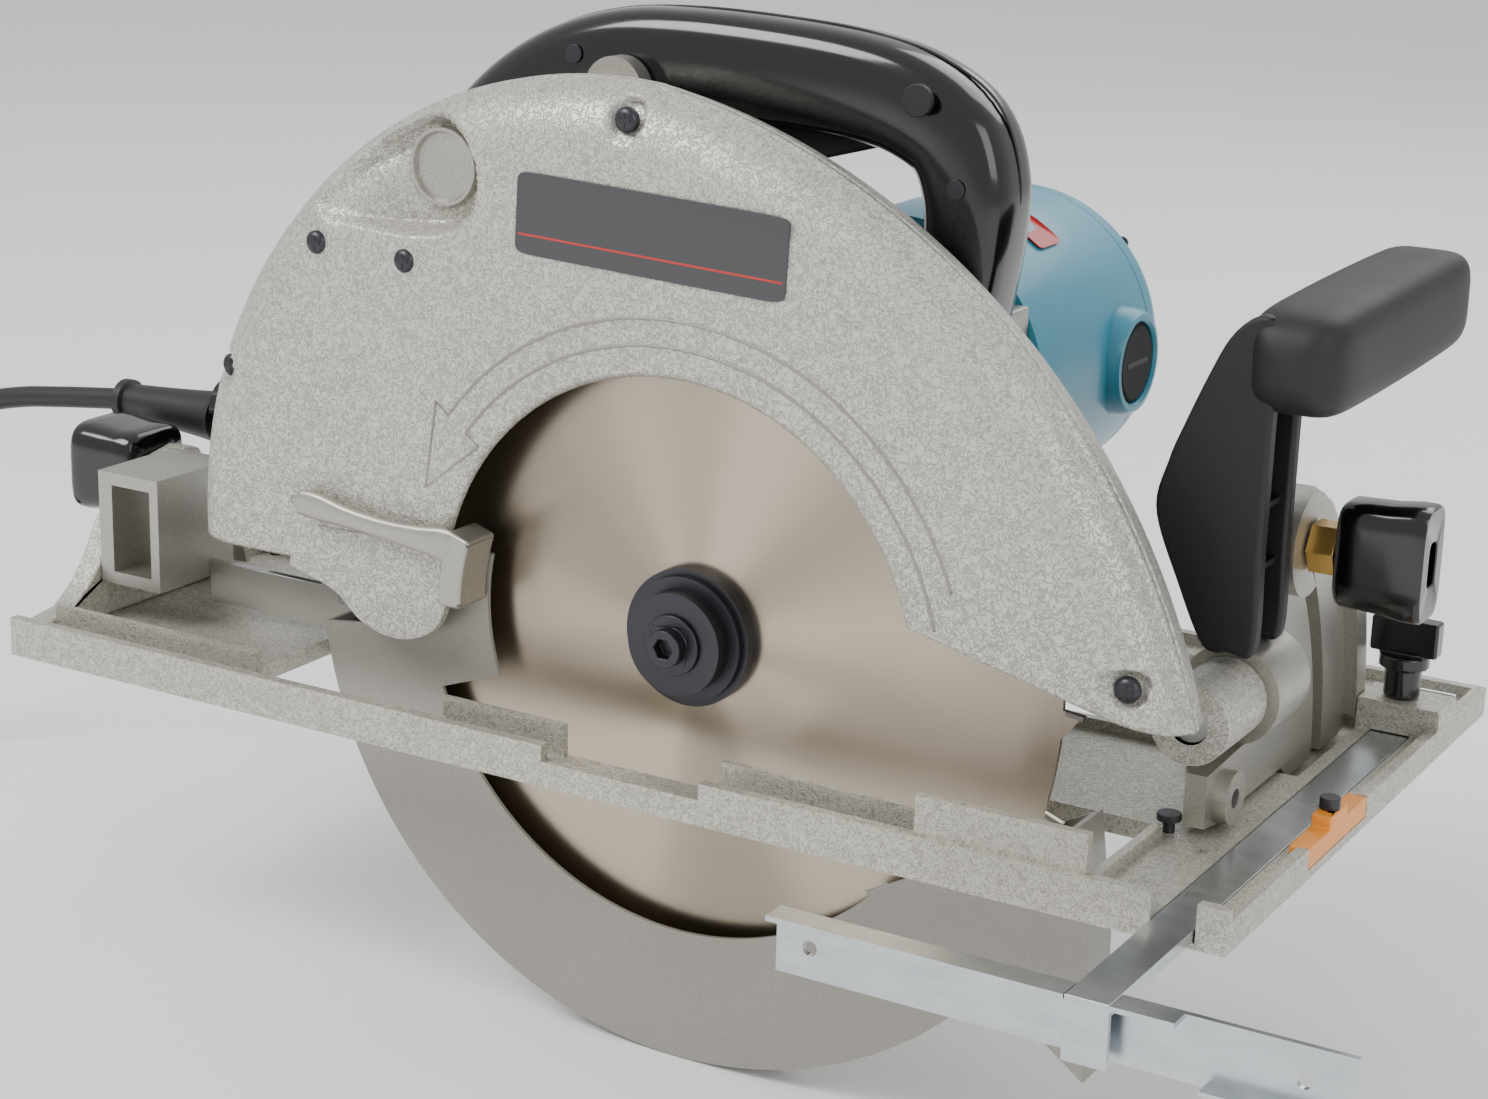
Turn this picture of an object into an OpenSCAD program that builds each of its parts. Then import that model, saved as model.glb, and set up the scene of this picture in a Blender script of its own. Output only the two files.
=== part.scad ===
// Hand-held circular saw: a head that sets its depth about a front pivot and tilts on a cast base.
// The origin is on the sole, straight below the blade's axis at rest, in the blade's middle plane.
// +X is forward, +Y points from the blade to the motor, +Z is up.

/* [Blade and case] */
// Radius of the saw blade
blade_r = 177.5; // [148:0.5:213]
// Thickness of the blade's plate
blade_t = 2.2; // [1.6:0.1:2.6]
// Radius of the bore in the blade
bore_r = 15; // [12.5:0.5:16]
// Number of teeth on the blade
blade_teeth = 24; // [18:2:40]
// Height of the blade's axis above the sole
arbor_h = 58.2; // [56:0.1:70]
// Half of the blade case's thickness
case_half = 24; // [22:0.5:24]
// Wall thickness of the blade case
case_wall = 3; // [2:0.5:3.5]

/* [Guard] */
// Gap from the blade's tips to the inside of the guard's rim
guard_gap = 9; // [7:0.5:9]
// Half of the guard's thickness
guard_half = 11; // [10:0.5:11.5]
// Radius of the boss that the guard turns on
guard_boss_r = 33; // [31:0.5:34]

/* [Base] */
// Length of the base behind the blade's rear tip
base_rear = 156.5; // [150:0.5:190]
// Length of the base in front of the blade's front tip
base_front = 85; // [84:0.5:102]
// Width of the base from the blade to its near edge
base_near = 58; // [58:0.5:70]
// Width of the base from the blade to its far edge
base_far = 260; // [217:1:312]
// Thickness of the base's floor
base_t = 8; // [6.5:0.5:8]
// Height of the near outer wall
near_wall_h = 18; // [15:0.5:18]

/* [Bevel and depth] */
// Radius of the depth pivot pin
pin_r = 8; // [6.5:0.1:9.6]
// Distance across from the blade to the front clamp stud
front_stud_y = 110; // [108:0.5:114]
// Radius of both bevel clamp studs
stud_r = 5; // [4:0.1:5.4]
// Radius of the depth guide's slot about the depth pivot
guide_r = 415; // [412:0.5:418]

/* [Drive] */
// Radius of the spindle in its front bearing
spindle_r = 12.5; // [10.5:0.1:12.5]
// Tooth size of the spindle gear and its pinion
slow_module = 2.25; // [2.25:0.25:2.25]
// Teeth on the spindle gear
slow_gear_teeth = 27; // [27:1:27]
// Teeth on the pinion that drives the spindle gear
slow_pinion_teeth = 18; // [18:1:18]
// Tooth size of the armature pinion and its gear
fast_module = 2; // [2:0.25:2]
// Teeth on the gear that the armature drives
fast_gear_teeth = 50; // [50:1:50]
// Teeth on the armature pinion
fast_pinion_teeth = 12; // [12:1:12]
// Radius of the motor housing
motor_r = 69; // [66:0.5:72]

/* [Handles and guide] */
// Thickness of the main handle
handle_t = 40; // [34:1:40]
// Width of the front grip's bar
grip_w = 42; // [36:1:44]
// Height of the front grip's bar
grip_h = 44; // [38:1:46]
// Length of the guide rule's arm
rule_arm_l = 381; // [375:1:390]
// Diameter of the power cord
cord_d = 11; // [9:0.5:11]

/* [Hidden] */
$fn = 64;

run_gap = 0.05;
slide_gap = 0.5;

// Blade, guard and case
guard_wall = 2.5;
guard_r = blade_r + guard_gap + guard_wall;
case_r = guard_r + 23;
case_top = 15 + case_r;
rear_arc = [-45, 15];
front_arc = [-75.3, -78.7];
front_arc_extra = 97;
arc_split = -21;
window_r = blade_r - 64.5;
cheek_r = window_r + 17.5;
seam = 0.2;
case_lower = 5;
case_rear = rear_arc[0] - case_r;
cover_steps = [[0, 8], [2, 14], [6, 19], [16, case_half]];
case_plate = case_half - 3;

// Bevel and depth
pivot_x = blade_r + 34.5;
pivot_z = 55.5;
front_x = blade_r + base_front;
rear_x = -blade_r - base_rear;
post_x = pivot_x - 3.5;
bracket_t = 17;
hub_r = 22;
slot_half = stud_r + 1;
rear_stud = [46, 66];
front_stud = [front_stud_y, front_stud_y];
guide_y = [case_half + 1, case_half + 5];
depth_low = -2.9;
depth_high = 22;

// Gears
slow_centres = slow_module * (slow_gear_teeth + slow_pinion_teeth) / 2;
fast_centres = fast_module * (fast_gear_teeth + fast_pinion_teeth) / 2;
slow_angle = 77.5;
fast_angle = 56.8;
idler_at = slow_centres * [cos(slow_angle), sin(slow_angle)];
motor_at = idler_at + fast_centres * [cos(fast_angle), sin(fast_angle)];
tooth_high = 0.8;
tooth_deep = 1.15;
tooth_play = 0.3;
fast_gear_tip = fast_module * (fast_gear_teeth / 2 + tooth_high);
slow_gear_tip = slow_module * (slow_gear_teeth / 2 + tooth_high);
slow_pinion_tip = slow_module * (slow_pinion_teeth / 2 + tooth_high);
housing_wall = 5;
gears_y = [24.3, 31, 52, 59.5, 76, 84];
bush_r = 7;
idler_r = 5;
armature_r = 6;
motor_y = [84.3, 200, 228];
motor_wall = 3;

// Handle
handle_y = 30;
handle_top = case_top + 26;
handle_mid = handle_y + handle_t / 2;
pad_top = motor_at[1] + 38;
trigger_x = [-8, 60];
trigger_low = case_top - 37;
trigger_t = 14;
tail = [84, 27.8];
tail_x = -326;

// Base slots and guide
slot_x = [-guard_r - 26, guard_r + 9];
slot_y = [-38, 30];
arm_x = pivot_x + 21;
arm_w = 17;
arm_y = [-126, rule_arm_l - 126];
arm_z = [3, 8];
clamp_y = 200;

// Cord
cord_r = cord_d / 2;
cord_gap = 1;
relief_end = -390;
cord_route = [
    [-391, 84, 86], [-412, 84, 83.5], [-436, 84, 80.5], [-460, 84, 77], [-484, 84, 71],
    [-506, 84, 60], [-524, 84, 44], [-536, 84, 22], [-542, 83, -4], [-544, 82, -31],
    [-545, 80, -57], [-545, 75, -82], [-545, 65, -103], [-545, 51, -118], [-545, 35, -125],
    [-545, 20, -125.5]
];
coil_at = [-619, 20];
coil_mean = 63;
coil_low = -131;
coil_layers = 2;

// ---- Shared shapes ----

// A flat (x, z) shape made solid between two places along Y
module along_y(y0, y1) {
    translate([0, y1, 0]) rotate([90, 0, 0]) linear_extrude(y1 - y0) children();
}

// A flat (y, z) shape made solid between two places along X
module along_x(x0, x1) {
    translate([x0, 0, 0]) rotate([90, 0, 90]) linear_extrude(x1 - x0) children();
}

// Round bar along Y centred on an (x, z) point
module rod_y(at, r, y0, y1) {
    along_y(y0, y1) translate(at) circle(r);
}

// Round bar along X centred on a (y, z) point
module rod_x(at, r, x0, x1) {
    along_x(x0, x1) translate(at) circle(r);
}

// Tube along Y centred on an (x, z) point
module tube_y(at, r_in, r_out, y0, y1) {
    along_y(y0, y1) translate(at) difference() {
        circle(r_out);
        circle(r_in);
    }
}

// Rectangle with exact round corners
module round_rect(w, h, r) {
    square([w - 2 * r, h], center = true);
    square([w, h - 2 * r], center = true);
    for (sx = [-1, 1], sy = [-1, 1])
        translate([sx * (w / 2 - r), sy * (h / 2 - r)]) circle(r, $fn = 32);
}

// Points of an arc
function arc_points(r, a0, a1, steps) =
    [for (i = [0:steps]) r * [cos(a0 + (a1 - a0) * i / steps), sin(a0 + (a1 - a0) * i / steps)]];

// Part of a flat ring between two angles
module ring_part(r_in, r_out, a0, a1) {
    intersection() {
        difference() {
            circle(r_out, $fn = 128);
            circle(r_in, $fn = 128);
        }
        polygon(concat([[0, 0]], arc_points(2 * r_out, a0, a1, 10)));
    }
}

// Head parts are drawn about the blade's axis
module head() {
    translate([0, 0, arbor_h]) children();
}

// Screw along -Y: head at the near end, shank going to far_y
module screw_y(at, head_r, y_head, y_seat, shank_r, far_y) {
    rod_y(at, head_r, y_head, y_seat);
    rod_y(at, shank_r, y_seat, far_y);
}

// ---- Gears ----

function involute(base, t) =
    let (a = t * 180 / PI) base * [cos(a) + t * sin(a), sin(a) - t * cos(a)];
function turned(p, a) = [p[0] * cos(a) - p[1] * sin(a), p[0] * sin(a) + p[1] * cos(a)];
function roll_to(base, r) = r > base ? sqrt(pow(r / base, 2) - 1) : 0;
function roll_angle(base, r) = let (t = roll_to(base, r)) t * 180 / PI - atan(t);

// One tooth: root, rising flank, tip and falling flank, centred on angle 0
function tooth(pitch_r, root, base, tip, half) =
    let (
        shift = -half - roll_angle(base, pitch_r),
        low = max(root, base),
        rolls = [for (i = [0:4]) roll_to(base, low + (tip - low) * i / 4)],
        rise = [for (t = rolls) turned(involute(base, t), shift)]
    )
    concat(
        root < base ? [turned([root, 0], shift)] : [],
        rise,
        [for (i = [len(rise) - 1:-1:0]) [rise[i][0], -rise[i][1]]],
        root < base ? [turned([root, 0], -shift)] : []
    );

// Outline of a spur gear with a tooth centred on the phase angle
module gear_shape(teeth, mod, phase) {
    pitch_r = teeth * mod / 2;
    root = pitch_r - tooth_deep * mod;
    base = pitch_r * cos(20);
    tip = pitch_r + tooth_high * mod;
    half = 90 / teeth - tooth_play / 2 / pitch_r * 90 / PI;
    one = tooth(pitch_r, root, base, tip, half);
    polygon([for (k = [0:teeth - 1], p = one) turned(p, phase + k * 360 / teeth)]);
}

// ---- Base ----

module base_plate() {
    color("lightgray") difference() {
        union() {
            base_floor();
            base_walls();
            // Bridge that the rule's clamp screw stands in
            translate([arm_x - 7, clamp_y - 12, 0]) cube([front_x - arm_x + 7, 24, 22]);
        }
        // Groove that the rule's arm slides in
        translate([arm_x - slide_gap, -base_near - 1, arm_z[0] - slide_gap])
            cube([arm_w + 2 * slide_gap, base_near + base_far + 2, arm_z[1] - arm_z[0] + 2 * slide_gap]);
        translate([arm_x - slide_gap, -base_near - 1, arm_z[0]])
            cube([arm_w + 2 * slide_gap, base_near + clamp_y - 16, 40]);
        translate([arm_x + arm_w / 2, clamp_y, 0]) cylinder(h = 40, r = 4 + run_gap);
        // Tapped holes in the front rail
        for (p = base_screw_at) translate([p[0], p[1], -1]) cylinder(h = 30, r = 2.5);
        // Seats of the top guide, the front post and the rear quadrant
        translate([front_x - 8.6, 27.9, 4]) cube([10, 68.2, 40]);
        translate([post_x - 26.1, front_stud_y - 10.1, base_t]) cube([26.2, 24.2, 40]);
        translate([rear_x - 1, -48.1, base_t]) cube([13.1, 120.2, 40]);
    }
}

base_screw_at = [[pivot_x - 7, 26], [pivot_x + 12, 14]];

module base_floor() {
    difference() {
        translate([rear_x, -base_near, 0]) cube([front_x - rear_x, base_near + base_far, base_t]);
        // Blade slot
        translate([slot_x[0], slot_y[0], -1]) cube([slot_x[1] - slot_x[0], slot_y[1] - slot_y[0], 40]);
        // Lightening windows behind the motor
        translate([rear_x + 60, 130, -1]) cube([150, base_far - 150, 40]);
        translate([-90, 130, -1]) cube([pivot_x - 10 + 50, base_far - 150, 40]);
        // Pocket that clears the swinging front bracket
        translate([post_x, front_stud_y + 4, 1.5]) cube([bracket_t + 1, 92, 40]);
        translate([front_x - 9, 26, 4]) cube([10, 72, 40]);
    }
}

module base_walls() {
    wall_l = front_x - rear_x;
    difference() {
        translate([rear_x, -base_near, 0]) cube([wall_l, 5, near_wall_h]);
        translate([-38, -base_near - 1, 11]) cube([76, 7, 40]);
    }
    // The gap behind the blade clears the case at full bevel
    for (x = [[rear_x + 6, -202], [-100, -38], [38, slot_x[1] - 4]])
        translate([x[0], slot_y[0] - 3, 0]) cube([x[1] - x[0], 3, 22]);
    // Chip deflector in front of the blade
    translate([blade_r - 44, -base_near + 2, 0]) cube([72, 4, 34]);
    // Ribs around the edges
    translate([rear_x, -base_near, 0]) cube([5, base_near + base_far, 13]);
    translate([rear_x, base_far - 5, 0]) cube([wall_l, 5, 13]);
    translate([front_x - 5, -base_near, 0]) cube([5, base_near + base_far, 13]);
    translate([slot_x[1] + 3, -base_near, 0]) cube([4, 78, 13]);
    translate([rear_x, 118, 0]) cube([wall_l - 62, 4, 13]);
}

module front_post() {
    color("gainsboro") difference() {
        union() {
            translate([post_x - 12.5, front_stud_y - 10, base_t]) cube([12, 18, 108]);
            translate([post_x - 26, front_stud_y - 10, base_t]) cube([25.5, 24, 8]);
            rod_x(front_stud, 15, post_x - 12.5, post_x - 0.5);
        }
        rod_x(front_stud, stud_r, post_x - 14, post_x);
    }
}

module rear_quadrant() {
    color("lightgray") difference() {
        along_x(rear_x, rear_x + 12) difference() {
            polygon([[-48, base_t], [-48, 14.5], [-30, 17], [-18, 26], [-10, 35.5], [0, 52.5], [10, 61],
                [22, 68], [38, 76], [52, 78.5], [62, 76], [68, 62], [72, base_t]]);
            translate(rear_stud) circle(stud_r);
        }
        // Shallow arc groove in the rear face
        along_x(rear_x - 1, rear_x + 3) ring_part(48, 58, 42, 74);
    }
}

module clamp_studs() {
    color("dimgray") {
        rod_x(front_stud, stud_r, post_x - 12.5, post_x + 50);
        rod_x(rear_stud, stud_r, rear_x - 22, rear_x + 24);
    }
}

module top_guide() {
    color("orange") difference() {
        union() {
            translate([front_x - 8.5, 28, 4]) cube([8.5, 68, 9]);
            translate([front_x - 8.5, 52, 4]) cube([8.5, 20, 14]);
        }
        translate([front_x - 8.5 + 4, 62, 0]) cylinder(h = 40, r = 2.2);
    }
}

module base_screws() {
    color("dimgray") {
        translate([front_x - 4.5, 62, 4]) cylinder(h = 14, r = 2.2);
        translate([front_x - 4.5, 62, 18]) cylinder(h = 5, r = 4.2);
        translate([base_screw_at[0][0], base_screw_at[0][1], 3]) cylinder(h = 10, r = 2.5);
        translate([base_screw_at[0][0], base_screw_at[0][1], 13]) cylinder(h = 3, r = 5);
    }
}

// Winged clamp knob along X with a bored hub
module clamp_knob(at, x0, x1, w, h) {
    difference() {
        along_x(x0, x1) translate(at) round_rect(w, h, 7);
        rod_x(at, stud_r + run_gap, x0 - 1, x1 + 1);
    }
}

module front_bevel_knob() {
    color("black") difference() {
        union() {
            clamp_knob(front_stud, post_x + 39, post_x + 67, 26, 48);
            along_x(post_x + 29.5, post_x + 39) translate(front_stud) difference() {
                circle(11);
                circle(stud_r + run_gap);
            }
        }
        rod_x(front_stud, 7, post_x + 55, post_x + 68);
    }
}

module clamp_nut() {
    color("goldenrod") along_x(post_x + 18, post_x + 29.5) translate(front_stud) difference() {
        circle(11.5, $fn = 6);
        circle(stud_r + run_gap);
    }
}

module rear_bevel_knob() {
    color("black") difference() {
        union() {
            clamp_knob(rear_stud, rear_x - 38, rear_x - 7, 44, 44);
            along_x(rear_x - 7, rear_x - 0.5) translate(rear_stud) circle(10);
        }
        rod_x(rear_stud, stud_r + run_gap, rear_x - 25, rear_x);
    }
}

// ---- Rip guide ----

module guide_rule() {
    color("silver") difference() {
        union() {
            translate([pivot_x - 98, arm_y[0], -17]) cube([222, 2.5, 25]);
            translate([pivot_x - 98, arm_y[0] - 9, 6]) cube([160, 11.5, 2]);
            translate([pivot_x + 72, arm_y[0] - 8, -17]) cube([52, 10.5, 2]);
        }
        for (x = [pivot_x - 84, pivot_x + 106])
            translate([x, arm_y[0] + 3, -5]) rotate([90, 0, 0]) cylinder(h = 10, r = 3);
        translate([arm_x - 0.2, arm_y[0] - 20, arm_z[0] - 0.2]) cube([arm_w + 0.4, 40, 20]);
    }
}

module guide_arm() {
    color("silver") {
        translate([arm_x, arm_y[0] - 6, arm_z[0]]) cube([arm_w, rule_arm_l + 6, arm_z[1] - arm_z[0]]);
        translate([arm_x, arm_y[0] - 8.5, -17]) cube([arm_w, 2.5, 25]);
    }
}

module rule_clamp_screw() {
    x = arm_x + arm_w / 2;
    color("black") translate([x, clamp_y, 0]) {
        translate([0, 0, arm_z[1] + 0.3]) cylinder(h = 30, r = 4);
        translate([0, 0, 22.5]) cylinder(h = 14, r = 8);
        translate([0, 0, 36]) cylinder(h = 6, r = 11);
        translate([-15, -4, 42]) cube([30, 8, 16]);
    }
}

// ---- Tilting brackets ----

module front_bracket() {
    color("silver") difference() {
        union() {
            along_x(post_x + 2, post_x + 11) polygon([[26, 12], [26, 34], [65, 36], [88, 60], [88, 118],
                [95, 130], [126, 130], [150, 118], [176, 92], [200, 62], [200, 10], [184, 4], [122, 4],
                [112, 11], [60, 11], [45, 9]]);
            along_x(post_x, post_x + bracket_t) translate(front_stud) circle(hub_r);
            along_x(post_x, post_x + bracket_t) intersection() {
                ring_part(188, 200, 4, 24);
                translate([118, 10]) square([100, 100]);
            }
            rod_y([pivot_x, pivot_z], 21, case_half + 40.5, 100);
            along_x(post_x, post_x + bracket_t) translate([43, 21]) circle(11);
        }
        along_x(post_x - 1, post_x + 30) difference() {
            circle(norm(front_stud) + slot_half, $fn = 128);
            circle(norm(front_stud) - slot_half, $fn = 128);
            polygon([[0, 0], [500, 500], [-500, 500], [-500, -500], [0, -500]]);
        }
        rod_x(front_stud, slot_half, post_x - 1, post_x + 30);
        rod_y([pivot_x, pivot_z], pin_r, 0, 120);
        rod_x([43, 21], 4, post_x - 1, post_x + 30);
    }
}

module front_grip() {
    color("#26272b") difference() {
        union() {
            along_y(50, 87.5) polygon([[pivot_x - 8, 78], [pivot_x - 32, 132.5], [pivot_x - 24, 164.5],
                [pivot_x - 13, 190], [pivot_x + 2, 212], [pivot_x + 13, 212], [pivot_x + 13, 78]]);
            along_y(45, 225) translate([pivot_x + 18, 196.5]) round_rect(grip_w, grip_h, 15);
        }
        // Channel in the arm's front face
        translate([pivot_x - 7, 58, 92]) cube([22, 22, 80]);
        rod_x([69, 156], 3, pivot_x - 30, pivot_x);
    }
}

module grip_screws() {
    color("dimgray") {
        rod_x([69, 156], 3, pivot_x - 20, pivot_x - 7);
        rod_x([69, 156], 6, pivot_x - 7, pivot_x - 3);
    }
}

module rear_bracket() {
    x0 = rear_x + 12.5;
    color("silver") difference() {
        union() {
            along_x(x0, x0 + 8) ring_part(norm(rear_stud) - 8, norm(rear_stud) + 8, 9, 65);
            along_x(x0, x0 + 36) translate([-10, 26]) square([52, 54]);
        }
        along_x(x0 - 1, x0 + 9) ring_part(norm(rear_stud) - slot_half + 1, norm(rear_stud) + slot_half - 1,
            5, atan2(rear_stud[1], rear_stud[0]));
        rod_x(rear_stud, slot_half, x0 - 1, x0 + 22);
        // Hollow of the cast box, open to the rear and to both sides
        along_x(x0 + 8, x0 + 31) translate([-11, 32]) square([54, 42]);
    }
}

module depth_guide() {
    low = asin((pivot_z - 14) / guide_r);
    color("silver") {
        along_y(guide_y[0], guide_y[1]) difference() {
            union() {
                translate([pivot_x, pivot_z]) rotate(180) mirror([0, 1])
                    ring_part(guide_r - 16, guide_r + 16, -low, 25);
                translate([rear_x + 48.5, 14]) square([pivot_x - guide_r - rear_x - 48.5, 20]);
            }
            translate([pivot_x, pivot_z]) rotate(180) mirror([0, 1])
                ring_part(guide_r - slot_half, guide_r + slot_half, depth_low - 1, depth_high + 1);
        }
    }
}

module depth_pivot_pin() {
    color("dimgray") rod_y([pivot_x, pivot_z], pin_r, case_half - 1, 99.8);
}

// ---- Cord ----

function unit(v) = v / norm(v);

// Rings of a tube swept along the cord's own points
module cord_tube(points, r, sides) {
    n = len(points);
    rings = [for (i = [0:n - 1])
        let (
            t = unit(points[min(i + 1, n - 1)] - points[max(i - 1, 0)]),
            side = unit(cross(t, [0.6, 1, 0.3])),
            up = cross(side, t)
        )
        [for (k = [0:sides - 1]) points[i] + r * (side * cos(k * 360 / sides) + up * sin(k * 360 / sides))]];
    skin = [for (i = [0:n - 2], k = [0:sides - 1])
        let (m = (k + 1) % sides)
        [i * sides + k, i * sides + m, (i + 1) * sides + m, (i + 1) * sides + k]];
    caps = [[for (k = [sides - 1:-1:0]) k], [for (k = [0:sides - 1]) (n - 1) * sides + k]];
    polyhedron(points = [for (ring = rings, p = ring) p], faces = concat(skin, caps));
}

module power_cord() {
    color("#1c1c1e") cord_tube(cord_route, cord_r, 10);
}

module cord_coil() {
    color("#1c1c1e") translate([coil_at[0], coil_at[1], coil_low]) rotate_extrude()
        translate([coil_mean - 1.5 * cord_d, 0]) square([3 * cord_d - 0.2, coil_layers * cord_d - 1.5]);
}

module power_plug() {
    color("#1c1c1e") translate([coil_at[0] - coil_mean, coil_at[1], coil_low + coil_layers * cord_d + 15.5]) {
        rod_y([0, 0], 17, 0, 40);
        for (x = [-9.5, 9.5]) rod_y([x, 0], 2.4, 40, 59);
    }
}

// ---- Blade case ----

function front_edge() = [[arc_split, 0], [window_r - 1, 29], [window_r + 10, 19], [pivot_x - 35, 15],
    [pivot_x - 4, 4], [pivot_x + 20, 3]];

// Outline of the blade case, drawn in by an inset at its rim, with its window round the flange
module case_shape(inset) {
    difference() {
        case_outline(inset);
        circle(window_r, $fn = 128);
    }
}

module case_outline(inset) {
    intersection() {
        translate(rear_arc) circle(case_r - inset, $fn = 160);
        translate([-3 * case_r, case_lower]) square([3 * case_r + arc_split + 0.01, 4 * case_r]);
    }
    intersection() {
        translate(front_arc) circle(case_r + front_arc_extra - inset, $fn = 160);
        polygon(concat(front_edge(), [[pivot_x + 20, 400], [arc_split, 400]]));
    }
}

// Space inside the case, open at its lower edge
module case_space(inset) {
    intersection() {
        translate(rear_arc) circle(case_r - inset, $fn = 160);
        translate([-3 * case_r, -60]) square([3 * case_r + arc_split + 0.01, 4 * case_r]);
    }
    intersection() {
        translate(front_arc) circle(case_r + front_arc_extra - inset, $fn = 160);
        translate([arc_split, -60]) square([3 * case_r, 4 * case_r]);
    }
}

screw_rim = guard_r + 14;
case_screw_at = [screw_rim * [cos(6), sin(6)], [arc_split - 5, case_top - 13], [case_rear + 14, 84]];
chute_at = [[-179, 148], [-132.4, 145.5]];
port_at = [-150, 178];

module case_cover() {
    color("silver") head() difference() {
        for (s = cover_steps) along_y(-s[1], -seam) case_shape(s[0]);
        for (s = cover_steps) along_y(case_wall - s[1], 0) case_space(s[0] + case_wall);
        for (p = case_screw_at) rod_y(p, 2.6, -30, 0);
        for (p = chute_at) rod_y(p, 2, -30, 0);
        // Scooped recesses around the screw heads
        for (p = case_screw_at) rod_y(p, 8, -30, -18);
        // Chip outlet
        along_y(-30, -case_half + 8) outlet_shape();
    }
}

// Outline of the chip outlet's scoop
module outlet_shape() {
    translate([-45, -66.7]) translate([45, 0]) polygon([[-182, 232], [-150, 256], [-126, 268], [-113.5, 271],
        [-101, 266], [-97, 254], [-101, 236], [-119, 226]]);
}

module blade_case() {
    color("silver") head() difference() {
        union() {
            difference() {
                union() {
                    along_y(seam, case_plate) case_shape(0);
                    along_y(case_plate, case_half) case_outline(0);
                }
                along_y(-1, case_plate) case_space(case_wall);
            }
            // Posts for the cover's screws
            for (p = case_screw_at) rod_y(p, 6, seam, case_plate + 1);
            // Boss that the lower guard turns on
            rod_y([0, 0], guard_boss_r, guard_half - 1.5, case_half);
            rod_y([0, 0], 60, case_plate, case_half);
            rod_y(idler_at, 60, case_plate, case_half);
            // Boss for the depth pivot
            along_y(case_plate, case_half) translate([pivot_x, pivot_z - arbor_h]) circle(16.5);
            rod_y([pivot_x, pivot_z - arbor_h], 16.5, case_plate, case_half + 40);
            // Boss behind the case's top for the handle
            rod_y([-58, case_top - 8], 14, case_plate, handle_y);
            // Stud for the depth lever
            rod_y([pivot_x - guide_r, pivot_z - arbor_h], stud_r, case_half, 56);
            along_y(case_plate, case_half) translate([pivot_x - guide_r - 18, case_lower - 24]) square([60, 30]);
        }
        rod_y([0, 0], 20, 0, case_half + 1);
        rod_y([pivot_x, pivot_z - arbor_h], pin_r + run_gap, 0, case_half + 60);
        for (p = case_screw_at) rod_y(p, 2.6, 0, 12);
        rod_y(port_at, 20, case_plate - 1, case_half + 1);
    }
}

module case_screws() {
    color("dimgray") head() for (p = case_screw_at) screw_y(p, 5.5, -22, -18, 2.6, 10);
}

module chute_screws() {
    color("dimgray") head() for (p = chute_at)
        screw_y(p, 5, -case_half - 3, -case_half, 2, -case_half + case_wall);
}

module label_plate() {
    color("#38383c") head() along_y(-case_half - 0.8, -case_half)
        translate([-74.4, case_top - 37]) rotate(-2.5) translate([64, -17]) round_rect(127.4, 34.1, 2.5);
}

// ---- Lower guard ----

function nose() = [[cheek_r - 40.5, -90.7], [guard_r - 6, -40.7], [guard_r + 1, -91.7], [guard_r + 2, -148.7],
    [guard_r - 45, -114]];

// Hollow inside the nose, open towards the blade
function nose_hollow() = [[cheek_r - 46, -84], [guard_r - 12, -34], [guard_r - 2, -92], [guard_r - 1.1, -142.7],
    [guard_r - 43.5, -111.5]];

module lower_guard() {
    color("#8f8d87") head() difference() {
        union() {
            along_y(-guard_half, guard_half) union() {
                ring_part(cheek_r, guard_r, -172, -40);
                polygon(nose());
            }
            // Far side runs in to the hub
            along_y(guard_half - 1.6, guard_half + 0.3) union() {
                ring_part(guard_boss_r - 6, cheek_r + 5, -170, -45);
                circle(guard_boss_r + 9);
            }
            along_y(guard_half - 1, case_plate - 1) circle(guard_boss_r + 8.5);
            // Tab that carries the lever, inside the case's window
            along_y(-guard_half - 0.3, -guard_half + 1.6) ring_part(window_r - 15, cheek_r + 8, -192, -160);
        }
        along_y(-guard_half + 1.8, guard_half - 1.8) union() {
            ring_part(cheek_r - 20, guard_r - guard_wall, -178, -38);
            polygon(nose_hollow());
        }
        rod_y([0, 0], guard_boss_r + run_gap, guard_half - 3, case_half);
    }
}

module guard_lever() {
    color("silver") head() {
        along_y(-31, -guard_half - 0.3) ring_part(window_r - 15, window_r - 2.5, -192, -180);
        along_y(-32, -27) translate([-blade_r - 12, 25]) square([blade_r + 27 - window_r, 12]);
        along_y(-32, -27) ring_part(window_r - 15, window_r - 2.5, -199, -180);
    }
}

module guard_spring() {
    color("dimgray") head() for (i = [0:2]) translate([0, 13.4 + i * 2.6, 0]) rotate([90, 0, 0])
        rotate_extrude() translate([guard_boss_r + 12.5, 0]) circle(1.2, $fn = 16);
}

// ---- Blade and spindle ----

module blade() {
    gullet = 9;
    pitch = 360 / blade_teeth;
    color("#b9b0a2") head() difference() {
        union() {
            along_y(-blade_t / 2, blade_t / 2) {
                circle(blade_r - gullet, $fn = 160);
                for (i = [0:blade_teeth - 1]) rotate(i * pitch)
                    polygon([[blade_r - gullet - 3, 4], [blade_r - gullet - 3, -15], [blade_r - 3, -3],
                        [blade_r - 0.2, 0], [blade_r - 10, 1]]);
            }
            // Carbide tips, a little wider than the plate
            along_y(-blade_t / 2 - 0.3, blade_t / 2 + 0.3) for (i = [0:blade_teeth - 1])
                rotate(i * pitch) polygon([[blade_r - 8, 0.6], [blade_r - 8, -1], [blade_r - 0.4, -2], [blade_r, 0]]);
        }
        rod_y([0, 0], bore_r, -5, 5);
    }
}

module inner_flange() {
    color("#26262a") head() tube_y([0, 0], bore_r, 28, blade_t / 2, 8);
}

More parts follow.
